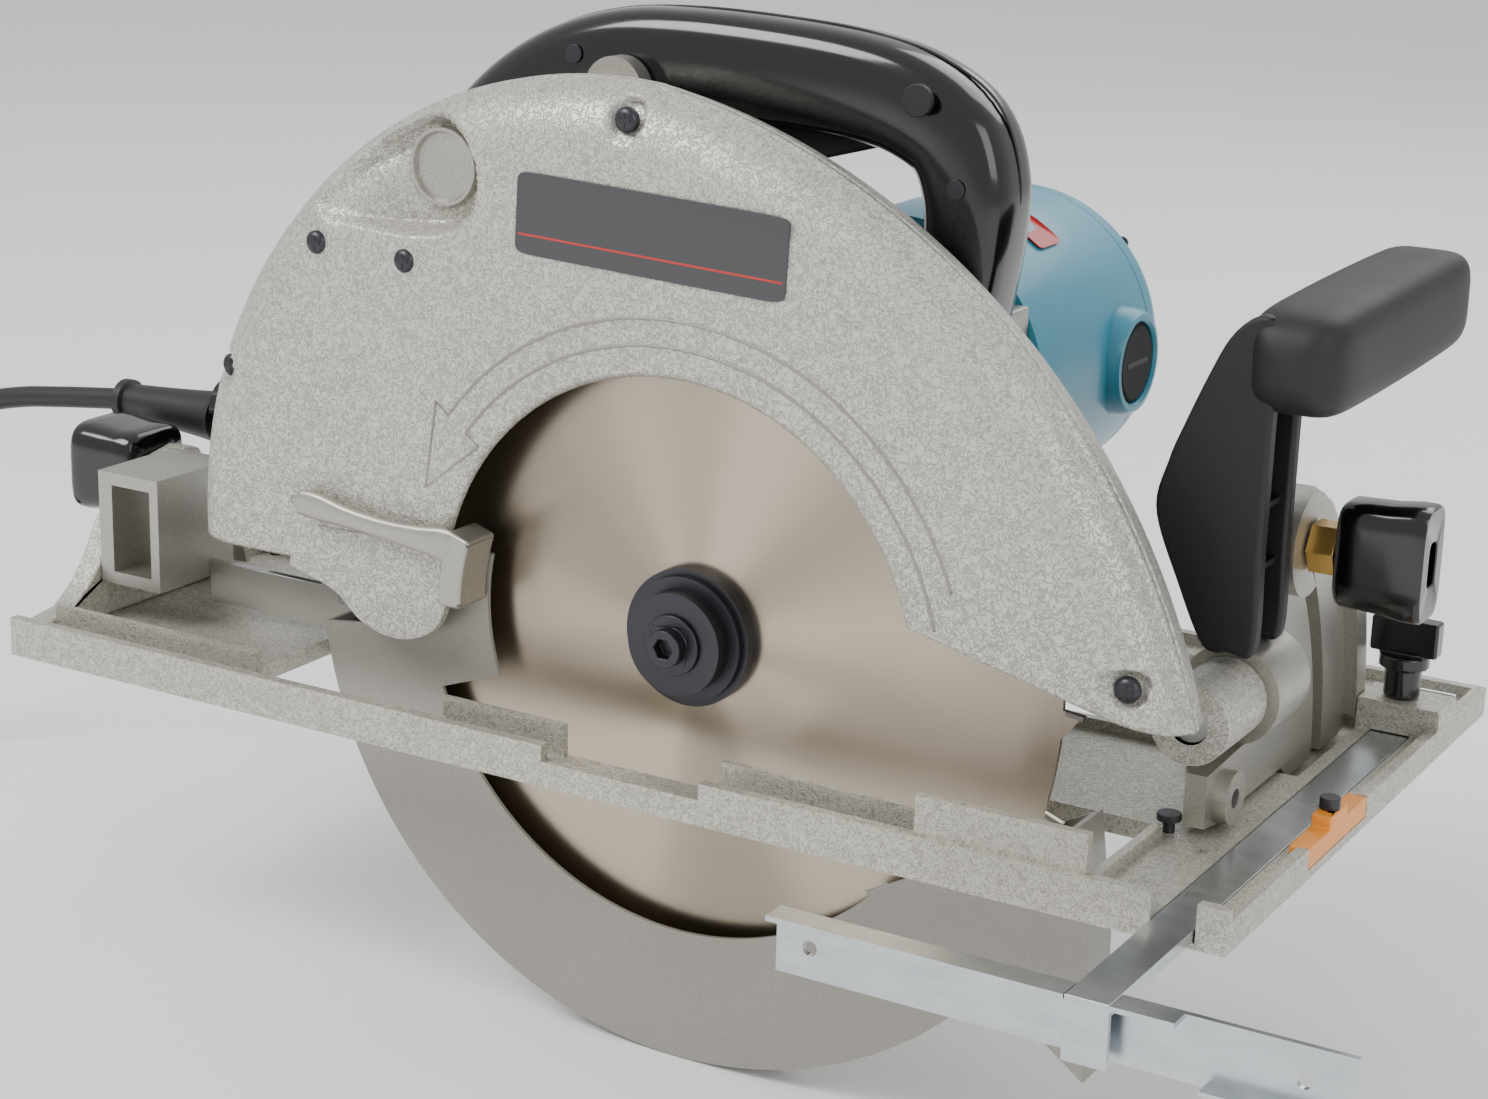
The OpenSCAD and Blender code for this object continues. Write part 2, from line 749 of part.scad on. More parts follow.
module outer_flange() {
    color("#26262a") head() difference() {
        union() {
            rod_y([0, 0], 29.6, -7, -blade_t / 2);
            rod_y([0, 0], 27, -10, -7);
            rod_y([0, 0], 22, -18, -10);
        }
        rod_y([0, 0], 5.2, -30, 0);
        rod_y([0, 0], bore_r, -5, 0);
    }
}

module blade_bolt() {
    color("#26262a") head() difference() {
        union() {
            rod_y([0, 0], 13, -20, -18);
            rod_y([0, 0], 8, -26, -20);
            rod_y([0, 0], 5, -18, 8);
        }
        along_y(-27, -21) circle(4.6, $fn = 6);
    }
}

module spindle() {
    color("silver") head() difference() {
        union() {
            rod_y([0, 0], bore_r, -blade_t / 2 - 3, 9);
            rod_y([0, 0], spindle_r, 9, 33);
            rod_y([0, 0], 10, 33, 50.5);
            rod_y([0, 0], bush_r, 50.5, 57.5);
        }
        rod_y([0, 0], 5, -10, 9);
    }
}

module spindle_gear() {
    color("silver") head() along_y(34, 50) difference() {
        gear_shape(slow_gear_teeth, slow_module, slow_angle);
        circle(10);
    }
}

module intermediate_shaft() {
    color("silver") head() {
        rod_y(idler_at, idler_r, 25.5, 82);
        rod_y(idler_at, 8, 33, 75);
    }
}

module intermediate_gear() {
    color("silver") head() {
        along_y(33.5, 50.5) translate(idler_at) difference() {
            gear_shape(slow_pinion_teeth, slow_module, slow_angle + 180 + 180 / slow_pinion_teeth);
            circle(8);
        }
        along_y(61, 72) translate(idler_at) difference() {
            gear_shape(fast_gear_teeth, fast_module, fast_angle);
            circle(8);
        }
    }
}

module armature_shaft() {
    color("silver") head() {
        rod_y(motor_at, armature_r, 74, 216);
        along_y(60.5, 74) translate(motor_at)
            gear_shape(fast_pinion_teeth, fast_module, fast_angle + 180 + 180 / fast_pinion_teeth);
    }
}

module armature_core() {
    color("#6b6d72") head() along_y(108, 154) translate(motor_at) difference() {
        circle(36);
        circle(armature_r);
        for (i = [0:11]) rotate(i * 30) translate([31, 0]) square([12, 4], center = true);
    }
}

module commutator() {
    color("peru") head() tube_y(motor_at, armature_r, 17, 162, 184);
}

module cooling_fan() {
    color("#2c2c30") head() along_y(89, 101) translate(motor_at) {
        difference() {
            circle(18);
            circle(armature_r);
        }
        for (i = [0:10]) rotate(i * 360 / 11) translate([17, -1]) square([41, 2]);
    }
}

// ---- Gear housing and bearings ----

// Chamber round both gears of one stage
module chamber(a, ra, b, rb) {
    translate(a) circle(ra);
    translate(b) circle(rb);
}

module gear_housing() {
    color("silver") head() difference() {
        union() {
            along_y(gears_y[0], gears_y[5]) {
                circle(slow_gear_tip + 1 + housing_wall);
                translate(idler_at) circle(fast_gear_tip + 1 + housing_wall);
                translate(motor_at) circle(22);
            }
            along_y(gears_y[4], gears_y[5]) translate(motor_at) circle(motor_r - motor_wall - 0.3);
            // Pad that the handle stands on
            translate([20, handle_y, motor_at[1]]) cube([86, gears_y[5] - handle_y, pad_top - motor_at[1]]);
        }
        along_y(gears_y[1], gears_y[2]) chamber([0, 0], slow_gear_tip + 1, idler_at, slow_pinion_tip + 2);
        along_y(gears_y[3], gears_y[4]) chamber(idler_at, fast_gear_tip + 1, motor_at, 15.5);
        rod_y([0, 0], 14, 20, gears_y[1] + 1);
        rod_y(idler_at, 10, 20, gears_y[1] + 1);
        rod_y([0, 0], 11, gears_y[2] - 1, 58.2);
        rod_y(idler_at, 12, gears_y[2] - 1, gears_y[3] + 1);
        rod_y(idler_at, 10, gears_y[4] - 1, 82.3);
        rod_y(motor_at, 15, gears_y[4] - 1, gears_y[5] + 1);
        // Hole for the shaft lock's pin
        rod_x([66, idler_at[1]], 4 + run_gap, idler_at[0] - 70, idler_at[0] - fast_gear_tip);
    }
}

module gear_bearings() {
    color("silver") head() {
        tube_y([0, 0], spindle_r + run_gap, 20, 10, 22);
        tube_y([0, 0], bush_r + run_gap, 11, 52, 58);
        tube_y(idler_at, idler_r + run_gap, 10, 25, 31);
        tube_y(idler_at, idler_r + run_gap, 10, 76, 82);
    }
}

module armature_bearings() {
    color("silver") head() {
        tube_y(motor_at, armature_r + run_gap, 15, 76, 84);
        tube_y(motor_at, armature_r + run_gap, 13, 205, 213);
    }
}

// ---- Motor ----

brush_y = 172;
brush_r = 18;

module motor_housing() {
    color("#4a96ac") head() difference() {
        union() {
            rod_y(motor_at, motor_r, motor_y[0], motor_y[1]);
            for (s = [-1, 1]) translate([s * 32, 0, 0])
                rod_x([brush_y, motor_at[1]], 23, motor_at[0] - 42, motor_at[0] + 42);
        }
        rod_y(motor_at, motor_r - motor_wall, motor_y[0] - 1, motor_y[1] + 1);
        rod_x([brush_y, motor_at[1]], brush_r, motor_at[0] - 90, motor_at[0] + 90);
    }
}

module motor_end_cover() {
    color("#4a96ac") head() difference() {
        union() {
            rod_y(motor_at, motor_r - 1, motor_y[1] + 0.2, motor_y[1] + 12);
            rod_y(motor_at, motor_r - 5, motor_y[1] + 12, motor_y[1] + 20);
            rod_y(motor_at, motor_r - 14, motor_y[1] + 20, motor_y[2]);
        }
        rod_y(motor_at, motor_r - 14, motor_y[1] - 1, motor_y[1] + 16);
        rod_y(motor_at, 13, motor_y[1], motor_y[2] - 6);
    }
    color("#4a96ac") head() tube_y(motor_at, 13, 20, motor_y[1] + 4, motor_y[1] + 16);
}

module motor_screws() {
    color("dimgray") head() for (a = [45, 135, 225, 315]) translate([motor_at[0], 0, motor_at[1]])
        rotate([0, a, 0]) rod_y([motor_r - 9, 0], 3, motor_y[1] + 20, motor_y[1] + 21.5);
}

module field_stator() {
    color("#6b6d72") head() tube_y(motor_at, 37, motor_r - motor_wall, 106, 152);
}

module carbon_brushes() {
    color("#2b2b2d") head() for (s = [-1, 1]) translate([motor_at[0] + s * 30, brush_y, motor_at[1]])
        cube([25, 8, 12], center = true);
}

module brush_holders() {
    color("goldenrod") head() for (s = [-1, 1]) translate([motor_at[0] + s * 41, brush_y, motor_at[1]])
        difference() {
            cube([46, 12, 16], center = true);
            cube([47, 8, 12], center = true);
        }
}

module brush_caps() {
    color("black") head() for (s = [-1, 1]) translate([s * 67.5, 0, 0])
        rod_x([brush_y, motor_at[1]], brush_r, motor_at[0] - 3, motor_at[0] + 3);
}

// ---- Main handle ----

// Side outline of the handle's loop
module handle_shape() {
    t = handle_top;
    difference() {
        polygon([[104, pad_top], [112, t - 82], [113, t - 57], [110, t - 36], [100, t - 19], [84, t - 9],
            [56, t - 4], [26, t - 1], [-35, t], [-62, t - 2], [-90, t - 9], [-115, t - 19], [-138, t - 33],
            [-165, t - 64], [-190, t - 110], [-212, 90], [-228, 60], [-234, 44], [-205, 40], [-178, 66],
            [-150, 104], [-110, 124], [-60, pad_top - 3], [20, pad_top]]);
        polygon([[62, pad_top + 14], [74, pad_top + 24], [78, t - 76], [77, t - 65], [71, t - 51],
            [60, t - 46], [28, t - 45], [-70, t - 46], [-96, t - 55], [-118, t - 76], [-122, t - 96],
            [-100, pad_top + 16], [-60, pad_top + 13]]);
    }
}

// Room inside the handle for the trigger, the switch and the lock-off button
module handle_space() {
    translate([trigger_x[0] - 2, handle_mid - 9, trigger_low - 1])
        cube([trigger_x[1] - trigger_x[0] + 4, 18, case_top + 1 - trigger_low]);
    translate([-20, handle_mid - 9, case_top + 1]) cube([60, 18, 16]);
    rod_y([80, case_top], 4 + run_gap, handle_y - 1, handle_y + 10);
}

module handle_near_half() {
    color("#161618") head() difference() {
        along_y(handle_y, handle_mid) handle_shape();
        handle_space();
    }
}

module handle_far_half() {
    color("#161618") head() difference() {
        union() {
            along_y(handle_mid, handle_y + handle_t) handle_shape();
            // Tail that the cord leaves from
            rod_x(tail, 13.5, tail_x + 4, -196);
            translate([-234, handle_mid + 4, 34]) cube([38, tail[0] - handle_mid - 4, 16]);
        }
        handle_space();
    }
}

module handle_screws() {
    color("dimgray") head() for (p = [[96, handle_top - 60], [-84, handle_top - 22], [-200, 74]])
        rod_y(p, 4, handle_y - 0.9, handle_y);
}

module power_switch() {
    color("#3a3a3e") head() translate([-18, handle_mid - 8.5, case_top + 2]) cube([56, 17, 14]);
}

module trigger() {
    color("#1d1d20") head() along_y(handle_mid - trigger_t / 2, handle_mid + trigger_t / 2)
        polygon([[trigger_x[1] - 2, case_top - 16], [trigger_x[1] - 2, case_top - 22],
            [trigger_x[0] + 20, trigger_low + 2], [trigger_x[0] + 2, trigger_low + 2],
            [trigger_x[0] + 2, case_top - 12], [trigger_x[0] + 30, case_top - 12]]);
}

module lock_off_button() {
    color("#1d1d20") head() {
        rod_y([80, case_top], 4, handle_y - 3, handle_y + 6);
        rod_y([80, case_top], 6.5, handle_y - 6.5, handle_y - 3);
    }
}

module shaft_lock_button() {
    x = idler_at[0] - fast_gear_tip;
    color("#1d1d20") head() {
        rod_x([66, idler_at[1]], 4, x - 14, x - 4);
        rod_x([66, idler_at[1]], 8, x - 19, x - 14);
    }
}

module depth_lever() {
    hub = [pivot_x - guide_r, pivot_z];
    color("#1d1d20") difference() {
        union() {
            rod_y(hub, 12, guide_y[1] + 1, 58);
            translate([hub[0], 38, hub[1]]) rotate([0, -11, 0]) translate([-60, 0, -7]) cube([60, 18, 14]);
        }
        rod_y(hub, stud_r + run_gap, 20, 56.5);
    }
}

module strain_relief() {
    color("#1c1c1e") head() translate([tail_x, tail[0], tail[1]]) rotate([0, -90, 0]) rotate_extrude()
        polygon([[0, -4], [13, -4], [13, 0], [12, 2], [10, 58], [10.5, 59], [10.5, 64], [0, 64]]);
}

base_plate();
front_post();
rear_quadrant();
clamp_studs();
top_guide();
base_screws();
front_bevel_knob();
clamp_nut();
rear_bevel_knob();
guide_rule();
guide_arm();
rule_clamp_screw();
front_bracket();
front_grip();
grip_screws();
rear_bracket();
depth_guide();
depth_pivot_pin();
power_cord();
cord_coil();
power_plug();
case_cover();
blade_case();
case_screws();
chute_screws();
label_plate();
guard_spring();
gear_housing();
gear_bearings();
armature_bearings();
motor_housing();
motor_end_cover();
motor_screws();
field_stator();
carbon_brushes();
brush_holders();
brush_caps();
handle_near_half();
handle_far_half();
handle_screws();
power_switch();
strain_relief();
trigger();
lock_off_button();
shaft_lock_button();
depth_lever();
blade();
inner_flange();
outer_flange();
blade_bolt();
spindle();
spindle_gear();
intermediate_shaft();
intermediate_gear();
armature_shaft();
armature_core();
commutator();
cooling_fan();
lower_guard();
guard_lever();
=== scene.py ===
"""Hand-held circular saw: finishes, smooth shells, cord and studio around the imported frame.

Lengths are metres. +X is forward along the cut, +Y runs from the blade to the motor, +Z is up, and the
origin is on the sole, straight below the blade's axis.
"""

import logging
import math
from dataclasses import dataclass, field
from enum import Enum
from typing import Any, Callable, Sequence

import bmesh
import bpy
import numpy as np
from mathutils import Matrix, Vector


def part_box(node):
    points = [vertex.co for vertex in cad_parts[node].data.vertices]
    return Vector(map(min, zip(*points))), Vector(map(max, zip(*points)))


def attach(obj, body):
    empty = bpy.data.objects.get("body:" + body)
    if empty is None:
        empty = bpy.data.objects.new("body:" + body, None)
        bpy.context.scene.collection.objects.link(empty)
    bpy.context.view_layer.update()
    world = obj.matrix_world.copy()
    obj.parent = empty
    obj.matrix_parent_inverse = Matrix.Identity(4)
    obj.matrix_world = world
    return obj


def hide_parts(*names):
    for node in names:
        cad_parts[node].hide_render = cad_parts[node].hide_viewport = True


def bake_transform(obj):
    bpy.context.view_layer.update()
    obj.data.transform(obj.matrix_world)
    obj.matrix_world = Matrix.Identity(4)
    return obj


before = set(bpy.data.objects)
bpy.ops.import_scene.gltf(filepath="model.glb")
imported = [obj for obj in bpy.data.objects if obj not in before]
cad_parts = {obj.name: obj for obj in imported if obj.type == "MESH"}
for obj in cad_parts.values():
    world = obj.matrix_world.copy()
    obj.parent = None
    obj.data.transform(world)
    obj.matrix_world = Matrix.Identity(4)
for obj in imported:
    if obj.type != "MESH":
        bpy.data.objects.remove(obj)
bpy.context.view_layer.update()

LOG = logging.getLogger("circular_saw")
MM = 0.001
Array = np.ndarray


class Body(str, Enum):
    """The moving bodies that pieces ride on."""

    BASE = "base"
    FRONT_KNOB = "front_knob"
    REAR_KNOB = "rear_knob"
    RIP_GUIDE = "rip_guide"
    RULE_SCREW = "rule_screw"
    TILT = "tilt_bracket"
    HEAD = "saw_head"
    TRIGGER = "trigger"
    LOCK_OFF = "lock_off"
    SHAFT_LOCK = "shaft_lock"
    DEPTH_CLAMP = "depth_clamp"
    BLADE = "blade_drive"
    GUARD = "guard"


# ---- Colour and shader tools ----


def linear(hex_colour: str) -> tuple[float, float, float, float]:
    """Turns an sRGB hex colour into linear RGBA.

    Args:
        hex_colour: Six hex digits, with or without a leading hash.

    Returns:
        Linear red, green, blue and an alpha of 1.
    """
    digits = hex_colour.lstrip("#")
    srgb = [int(digits[i:i + 2], 16) / 255 for i in (0, 2, 4)]
    values = [c / 12.92 if c <= 0.04045 else ((c + 0.055) / 1.055) ** 2.4 for c in srgb]
    return (values[0], values[1], values[2], 1.0)


def add_node(tree: Any, kind: str, settings: dict[str, Any] | None = None,
             inputs: dict[Any, Any] | None = None) -> Any:
    """Adds one shader node with its settings, values and links.

    Args:
        tree: The node tree.
        kind: The node's type name.
        settings: Attributes to set on the node.
        inputs: Socket name or index to a value, or to another node's output to link.

    Returns:
        The new node.
    """
    node = tree.nodes.new(kind)
    for name, value in (settings or {}).items():
        setattr(node, name, value)
    for key, value in (inputs or {}).items():
        if isinstance(value, bpy.types.NodeSocket):
            tree.links.new(value, node.inputs[key])
        else:
            node.inputs[key].default_value = value
    return node


def ramp(tree: Any, source: Any, stops: Sequence[tuple[float, str]]) -> Any:
    """Adds a colour ramp.

    Args:
        tree: The node tree.
        source: Output that drives the ramp.
        stops: Position and sRGB hex colour of each stop, in order.

    Returns:
        The ramp's colour output.
    """
    node = add_node(tree, "ShaderNodeValToRGB", None, {"Fac": source})
    elements = node.color_ramp.elements
    elements[0].position, elements[0].color = stops[0][0], linear(stops[0][1])
    elements[1].position, elements[1].color = stops[-1][0], linear(stops[-1][1])
    for position, colour in stops[1:-1]:
        elements.new(position).color = linear(colour)
    return node.outputs["Color"]


@dataclass(frozen=True)
class Finish:
    """A surface finish: what it is made of and how its surface was made.

    Attributes:
        name: Blender's name for the material.
        slot: The record's material slot; not used.
        light: The lighter of its two colours, as sRGB hex.
        dark: The darker of its two colours, as sRGB hex.
        metallic: 1 for bare metal, 0 for plastic and paint.
        roughness: Middle roughness.
        grain_mm: Size of the surface's grain.
        bump_mm: Height of the grain.
        contrast: How far the ramp spreads from its middle, 0 to 1.
        coat: Weight of the clear coat.
        stretch: How much longer the grain is along each axis.
        detail: Noise detail.
    """

    name: str
    slot: str
    light: str
    dark: str
    metallic: float = 0.0
    roughness: float = 0.5
    grain_mm: float = 1.0
    bump_mm: float = 0.02
    contrast: float = 0.25
    coat: float = 0.0
    stretch: tuple[float, float, float] = (1.0, 1.0, 1.0)
    detail: float = 3.0

    def build(self) -> Any:
        """Builds the material: grain from noise drives colour, roughness and bump.

        Returns:
            The material, made once and then reused.
        """
        found = bpy.data.materials.get(self.name)
        if found:
            return found
        material = bpy.data.materials.new(self.name)
        material.use_nodes = True
        tree = material.node_tree
        shader = tree.nodes["Principled BSDF"]
        place = add_node(tree, "ShaderNodeTexCoord").outputs["Object"]
        scale = add_node(tree, "ShaderNodeMapping", None,
                         {"Vector": place, "Scale": tuple(1 / s for s in self.stretch)})
        grain = self.grain(tree, scale.outputs["Vector"])
        blotch = add_node(tree, "ShaderNodeTexNoise", None,
                          {"Vector": place, "Scale": 14.0, "Detail": 3.0}).outputs["Fac"]
        mixed = add_node(tree, "ShaderNodeMath", {"operation": "MULTIPLY_ADD"},
                         {0: blotch, 1: 0.35, 2: grain})
        spread = add_node(tree, "ShaderNodeMapRange", None,
                          {"Value": mixed.outputs[0], "From Min": 0.675 - self.contrast,
                           "From Max": 0.675 + self.contrast})
        tree.links.new(ramp(tree, spread.outputs[0], [(0.0, self.dark), (1.0, self.light)]),
                       shader.inputs["Base Color"])
        gloss = add_node(tree, "ShaderNodeMapRange", None,
                         {"Value": blotch, "To Min": self.roughness * 0.85, "To Max": self.roughness * 1.15})
        tree.links.new(gloss.outputs[0], shader.inputs["Roughness"])
        bump = add_node(tree, "ShaderNodeBump", None,
                        {"Height": grain, "Distance": self.bump_mm * MM, "Strength": 1.0})
        tree.links.new(bump.outputs["Normal"], shader.inputs["Normal"])
        shader.inputs["Metallic"].default_value = self.metallic
        shader.inputs["Coat Weight"].default_value = self.coat
        shader.inputs["Coat Roughness"].default_value = 0.08
        self.extra(tree, shader)
        return material

    def grain(self, tree: Any, place: Any) -> Any:
        """Adds the grain's pattern and returns its height output."""
        return add_node(tree, "ShaderNodeTexNoise", None,
                        {"Vector": place, "Scale": 1 / (self.grain_mm * MM), "Detail": self.detail,
                         "Roughness": 0.6}).outputs["Fac"]

    def extra(self, tree: Any, shader: Any) -> None:
        """Lets a finish add what only it has."""


@dataclass(frozen=True)
class HammertoneFinish(Finish):
    """Hammertone enamel: silver paint that dries into light islands with fine dark furrows between."""

    def grain(self, tree: Any, place: Any) -> Any:
        """Warps a noise field and folds it about its middle, so thin furrows wander between islands."""
        cells = add_node(tree, "ShaderNodeTexNoise", None,
                         {"Vector": place, "Scale": 1 / (self.grain_mm * MM), "Detail": 2.0,
                          "Distortion": 1.2}).outputs["Fac"]
        folded = add_node(tree, "ShaderNodeMath", {"operation": "SUBTRACT"}, {0: cells, 1: 0.5})
        away = add_node(tree, "ShaderNodeMath", {"operation": "ABSOLUTE"}, {0: folded.outputs[0]})
        return add_node(tree, "ShaderNodeMapRange", {"interpolation_type": "SMOOTHSTEP"},
                        {"Value": away.outputs[0], "From Min": 0.0, "From Max": 0.085}).outputs[0]


@dataclass(frozen=True)
class BrushedDiscFinish(Finish):
    """Steel ground on a turning table: fine rings about the blade's axis, an anisotropic fan-shaped
    highlight, and painted highlight and shade in soft wedges in its colour.
    """

    axis_height: float = 0.0582

    def grain(self, tree: Any, place: Any) -> Any:
        """Noise along the distance from the axis only, so that it draws fine rings."""
        split = add_node(tree, "ShaderNodeSeparateXYZ", None, {0: place})
        height = add_node(tree, "ShaderNodeMath", {"operation": "SUBTRACT"},
                          {0: split.outputs["Z"], 1: self.axis_height})
        flat = add_node(tree, "ShaderNodeCombineXYZ", None,
                        {"X": split.outputs["X"], "Y": height.outputs[0]})
        radius = add_node(tree, "ShaderNodeVectorMath", {"operation": "LENGTH"}, {0: flat.outputs[0]})
        along = add_node(tree, "ShaderNodeCombineXYZ", None, {"X": radius.outputs["Value"]})
        return add_node(tree, "ShaderNodeTexNoise", None,
                        {"Vector": along.outputs[0], "Scale": 1 / (self.grain_mm * MM), "Detail": 6.0,
                         "Roughness": 0.75}).outputs["Fac"]

    def extra(self, tree: Any, shader: Any) -> None:
        """Stretches the highlight across the rings, and paints soft light and dark wedges of highlight and
        shade into the colour.
        """
        place = add_node(tree, "ShaderNodeTexCoord").outputs["Object"]
        down = add_node(tree, "ShaderNodeVectorMath", {"operation": "SUBTRACT"},
                        {0: place, 1: (0, 0, self.axis_height)})
        flat = add_node(tree, "ShaderNodeVectorMath", {"operation": "MULTIPLY"},
                        {0: down.outputs[0], 1: (1, 0, 1)})
        unit = add_node(tree, "ShaderNodeVectorMath", {"operation": "NORMALIZE"}, {0: flat.outputs[0]})
        # Painted highlight and shade: a noise of the angle about the axis makes the base colour lighter and
        # darker in soft wedges.
        painted_highlight_wedge = add_node(tree, "ShaderNodeTexNoise", None,
                         {"Vector": unit.outputs[0], "Scale": 1.1, "Detail": 1.0}).outputs["Fac"]
        shade = add_node(tree, "ShaderNodeMapRange", {"interpolation_type": "SMOOTHSTEP"},
                         {"Value": painted_highlight_wedge, "From Min": 0.40, "From Max": 0.62, "To Min": 0.74, "To Max": 1.12})
        base = shader.inputs["Base Color"].links[0].from_socket
        tint = add_node(tree, "ShaderNodeVectorMath", {"operation": "SCALE"},
                        {0: base, "Scale": shade.outputs[0]})
        tree.links.new(tint.outputs[0], shader.inputs["Base Color"])
        tangent = add_node(tree, "ShaderNodeTangent", {"direction_type": "RADIAL", "axis": "Y"})
        tree.links.new(tangent.outputs[0], shader.inputs["Tangent"])
        shader.inputs["Anisotropic"].default_value = 0.75


CAST_PAINT = HammertoneFinish("hammertone_enamel", "cast_hammertone", "#CBC8BE", "#A29E94", 0.40, 0.40,
                              3.0, 0.16, 0.45, 0.0)
BASE_PAINT = HammertoneFinish("hammertone_base", "cast_hammertone", "#C9C5B9", "#9F9B90", 0.50, 0.38,
                              2.4, 0.10, 0.45, 0.0)
CAST_ZINC = Finish("raw_zinc_casting", "cast_zinc", "#C4C1B8", "#9A978F", 0.85, 0.42, 0.9, 0.03, 0.3)
GUARD_LACQUER_AND_ARROW_SHADE = Finish("guard_lacquer_and_arrow_shade", "guard_steel", "#A29E95", "#8A877F", 0.30, 0.40, 0.8, 0.02, 0.3)
LEVER_CAST = Finish("satin_casting", "cast_zinc", "#BDB9B0", "#9C998F", 0.80, 0.38, 0.7, 0.02, 0.3)
BRIGHT_STEEL = Finish("ground_steel", "bright_steel", "#C8C8C6", "#A9A9A8", 1.0, 0.30, 0.3, 0.004, 0.4,
                      stretch=(1.0, 8.0, 1.0))
ZINC_PLATE = Finish("bright_zinc_plate", "zinc_plate", "#D3D9DD", "#B4B9BD", 1.0, 0.26, 7.0, 0.004, 0.35,
                    stretch=(3.0, 1.0, 1.0))
BLADE_STEEL = BrushedDiscFinish("ground_blade_steel", "blade_steel", "#C4B8A6", "#A79B8A", 1.0, 0.33,
                                0.35, 0.006, 0.6)
CARBIDE = Finish("carbide", "blade_steel", "#8A8784", "#6E6B69", 1.0, 0.35, 0.3, 0.004, 0.3)
BLACK_OXIDE = Finish("black_oxide", "black_oxide", "#2B2B2E", "#17171A", 0.75, 0.34, 0.5, 0.008, 0.3)
TEAL = Finish("teal_nylon", "teal_plastic", "#3F95AE", "#3689A2", 0.0, 0.36, 0.45, 0.012, 0.4, 0.15)
GLOSS_BLACK = Finish("gloss_black_nylon", "gloss_black", "#0C0C0E", "#070708", 0.0, 0.16, 0.6, 0.003, 0.4,
                     0.4)
MATTE_BLACK = Finish("textured_black_nylon", "matte_black", "#18191C", "#101113", 0.0, 0.56, 0.7, 0.05, 0.3)
SOFT_BLACK = Finish("black_rubber", "soft_black", "#222224", "#18181A", 0.0, 0.48, 0.6, 0.01, 0.3)
LABEL = Finish("dark_label", "dark_label", "#2A2A2E", "#232327", 0.0, 0.35, 0.5, 0.003, 0.4)
RED = Finish("red_ink", "dark_label", "#C2342F", "#B02C28", 0.0, 0.35, 0.5, 0.002, 0.4)
CAP_BLACK = Finish("cap_black_nylon", "gloss_black", "#08080A", "#050506", 0.0, 0.75, 0.5, 0.003, 0.3)
ORANGE = Finish("orange_nylon", "orange_plastic", "#F29A35", "#E78B25", 0.0, 0.36, 0.6, 0.006, 0.4)
BRASS = Finish("turned_brass", "brass", "#D6B26A", "#B8924C", 1.0, 0.28, 0.3, 0.005, 0.4)
COPPER = Finish("copper_bars", "copper_red", "#C9855C", "#A9663F", 1.0, 0.3, 0.4, 0.006, 0.4)
CORE_STEEL = Finish("laminated_core", "core_steel", "#7C7D80", "#5B5C60", 0.8, 0.45, 0.5, 0.02, 0.4,
                    stretch=(6.0, 1.0, 6.0))
CARBON_AND_PAINTED_SHADE = Finish("pressed_carbon_and_painted_shade", "carbon", "#2C2C2D", "#1E1E1F", 0.0, 0.6, 0.4, 0.01, 0.3)


# ---- Mesh tools ----


def smooth_path(points: Sequence[Sequence[float]], count: int) -> Array:
    """Carries a Catmull-Rom curve through given points.

    Each span blends its two ends with slopes taken from the neighbours on either side.

    Args:
        points: Points with any number of columns.
        count: How many points to return.

    Returns:
        Array of count rows, evenly spaced along the curve in its first three columns.
    """
    p = np.asarray(points, float)
    p = np.vstack([2 * p[0] - p[1], p, 2 * p[-1] - p[-2]])
    t = np.linspace(0, len(p) - 3 - 1e-9, 40 * len(p))
    i = t.astype(int)
    f = (t - i)[:, None]
    a, b, c, d = p[i], p[i + 1], p[i + 2], p[i + 3]
    bend = 2 * a - 5 * b + 4 * c - d
    twist = 3 * b - a - 3 * c + d
    dense = 0.5 * (2 * b + (c - a) * f + bend * f ** 2 + twist * f ** 3)
    step = np.linalg.norm(np.diff(dense[:, :3], axis=0), axis=1)
    along = np.concatenate([[0], np.cumsum(step)])
    at = np.linspace(0, along[-1], count)
    return np.stack([np.interp(at, along, dense[:, k]) for k in range(dense.shape[1])], axis=1)


def smooth_outline(points: Array, count: int = 90) -> Array:
    """Carries a closed smooth curve through the points of an outline.

    Args:
        points: Corners of the outline.
        count: How many points to return, about.

    Returns:
        Points of the closed curve.
    """
    p = np.vstack([points[-1], points, points[:2]])
    dense = smooth_path(p, 4 * count)
    first = int(np.argmin(np.linalg.norm(dense - points[0], axis=1)[: 2 * count]))
    last = first + int(np.argmin(np.linalg.norm(dense[first + count:] - points[0], axis=1))) + count
    return dense[first:last][:: 4]


def squircle(width: float, height: float, power: float = 3.0, count: int = 40) -> Array:
    """Outline whose half sizes follow the superellipse |x/a|^n + |y/b|^n = 1."""
    a = np.linspace(0, 2 * np.pi, count, endpoint=False)
    c, s = np.cos(a), np.sin(a)
    x = np.sign(c) * np.abs(c) ** (2 / power) * width / 2
    y = np.sign(s) * np.abs(s) ** (2 / power) * height / 2
    return np.stack([x, y], axis=1)


def grid_faces(rows: int, columns: int, wrap_rows: bool, wrap_columns: bool) -> Array:
    """Quads of a grid of points.

    Args:
        rows: Number of rows.
        columns: Number of columns.
        wrap_rows: Join the last row to the first.
        wrap_columns: Join the last column to the first.

    Returns:
        Corner indices, one quad in each row.
    """
    i = np.arange(rows if wrap_rows else rows - 1)[:, None]
    j = np.arange(columns if wrap_columns else columns - 1)[None, :]
    i2, j2 = (i + 1) % rows, (j + 1) % columns
    corners = [i * columns + j, i2 * columns + j, i2 * columns + j2, i * columns + j2]
    return np.stack(corners, -1).reshape(-1, 4)


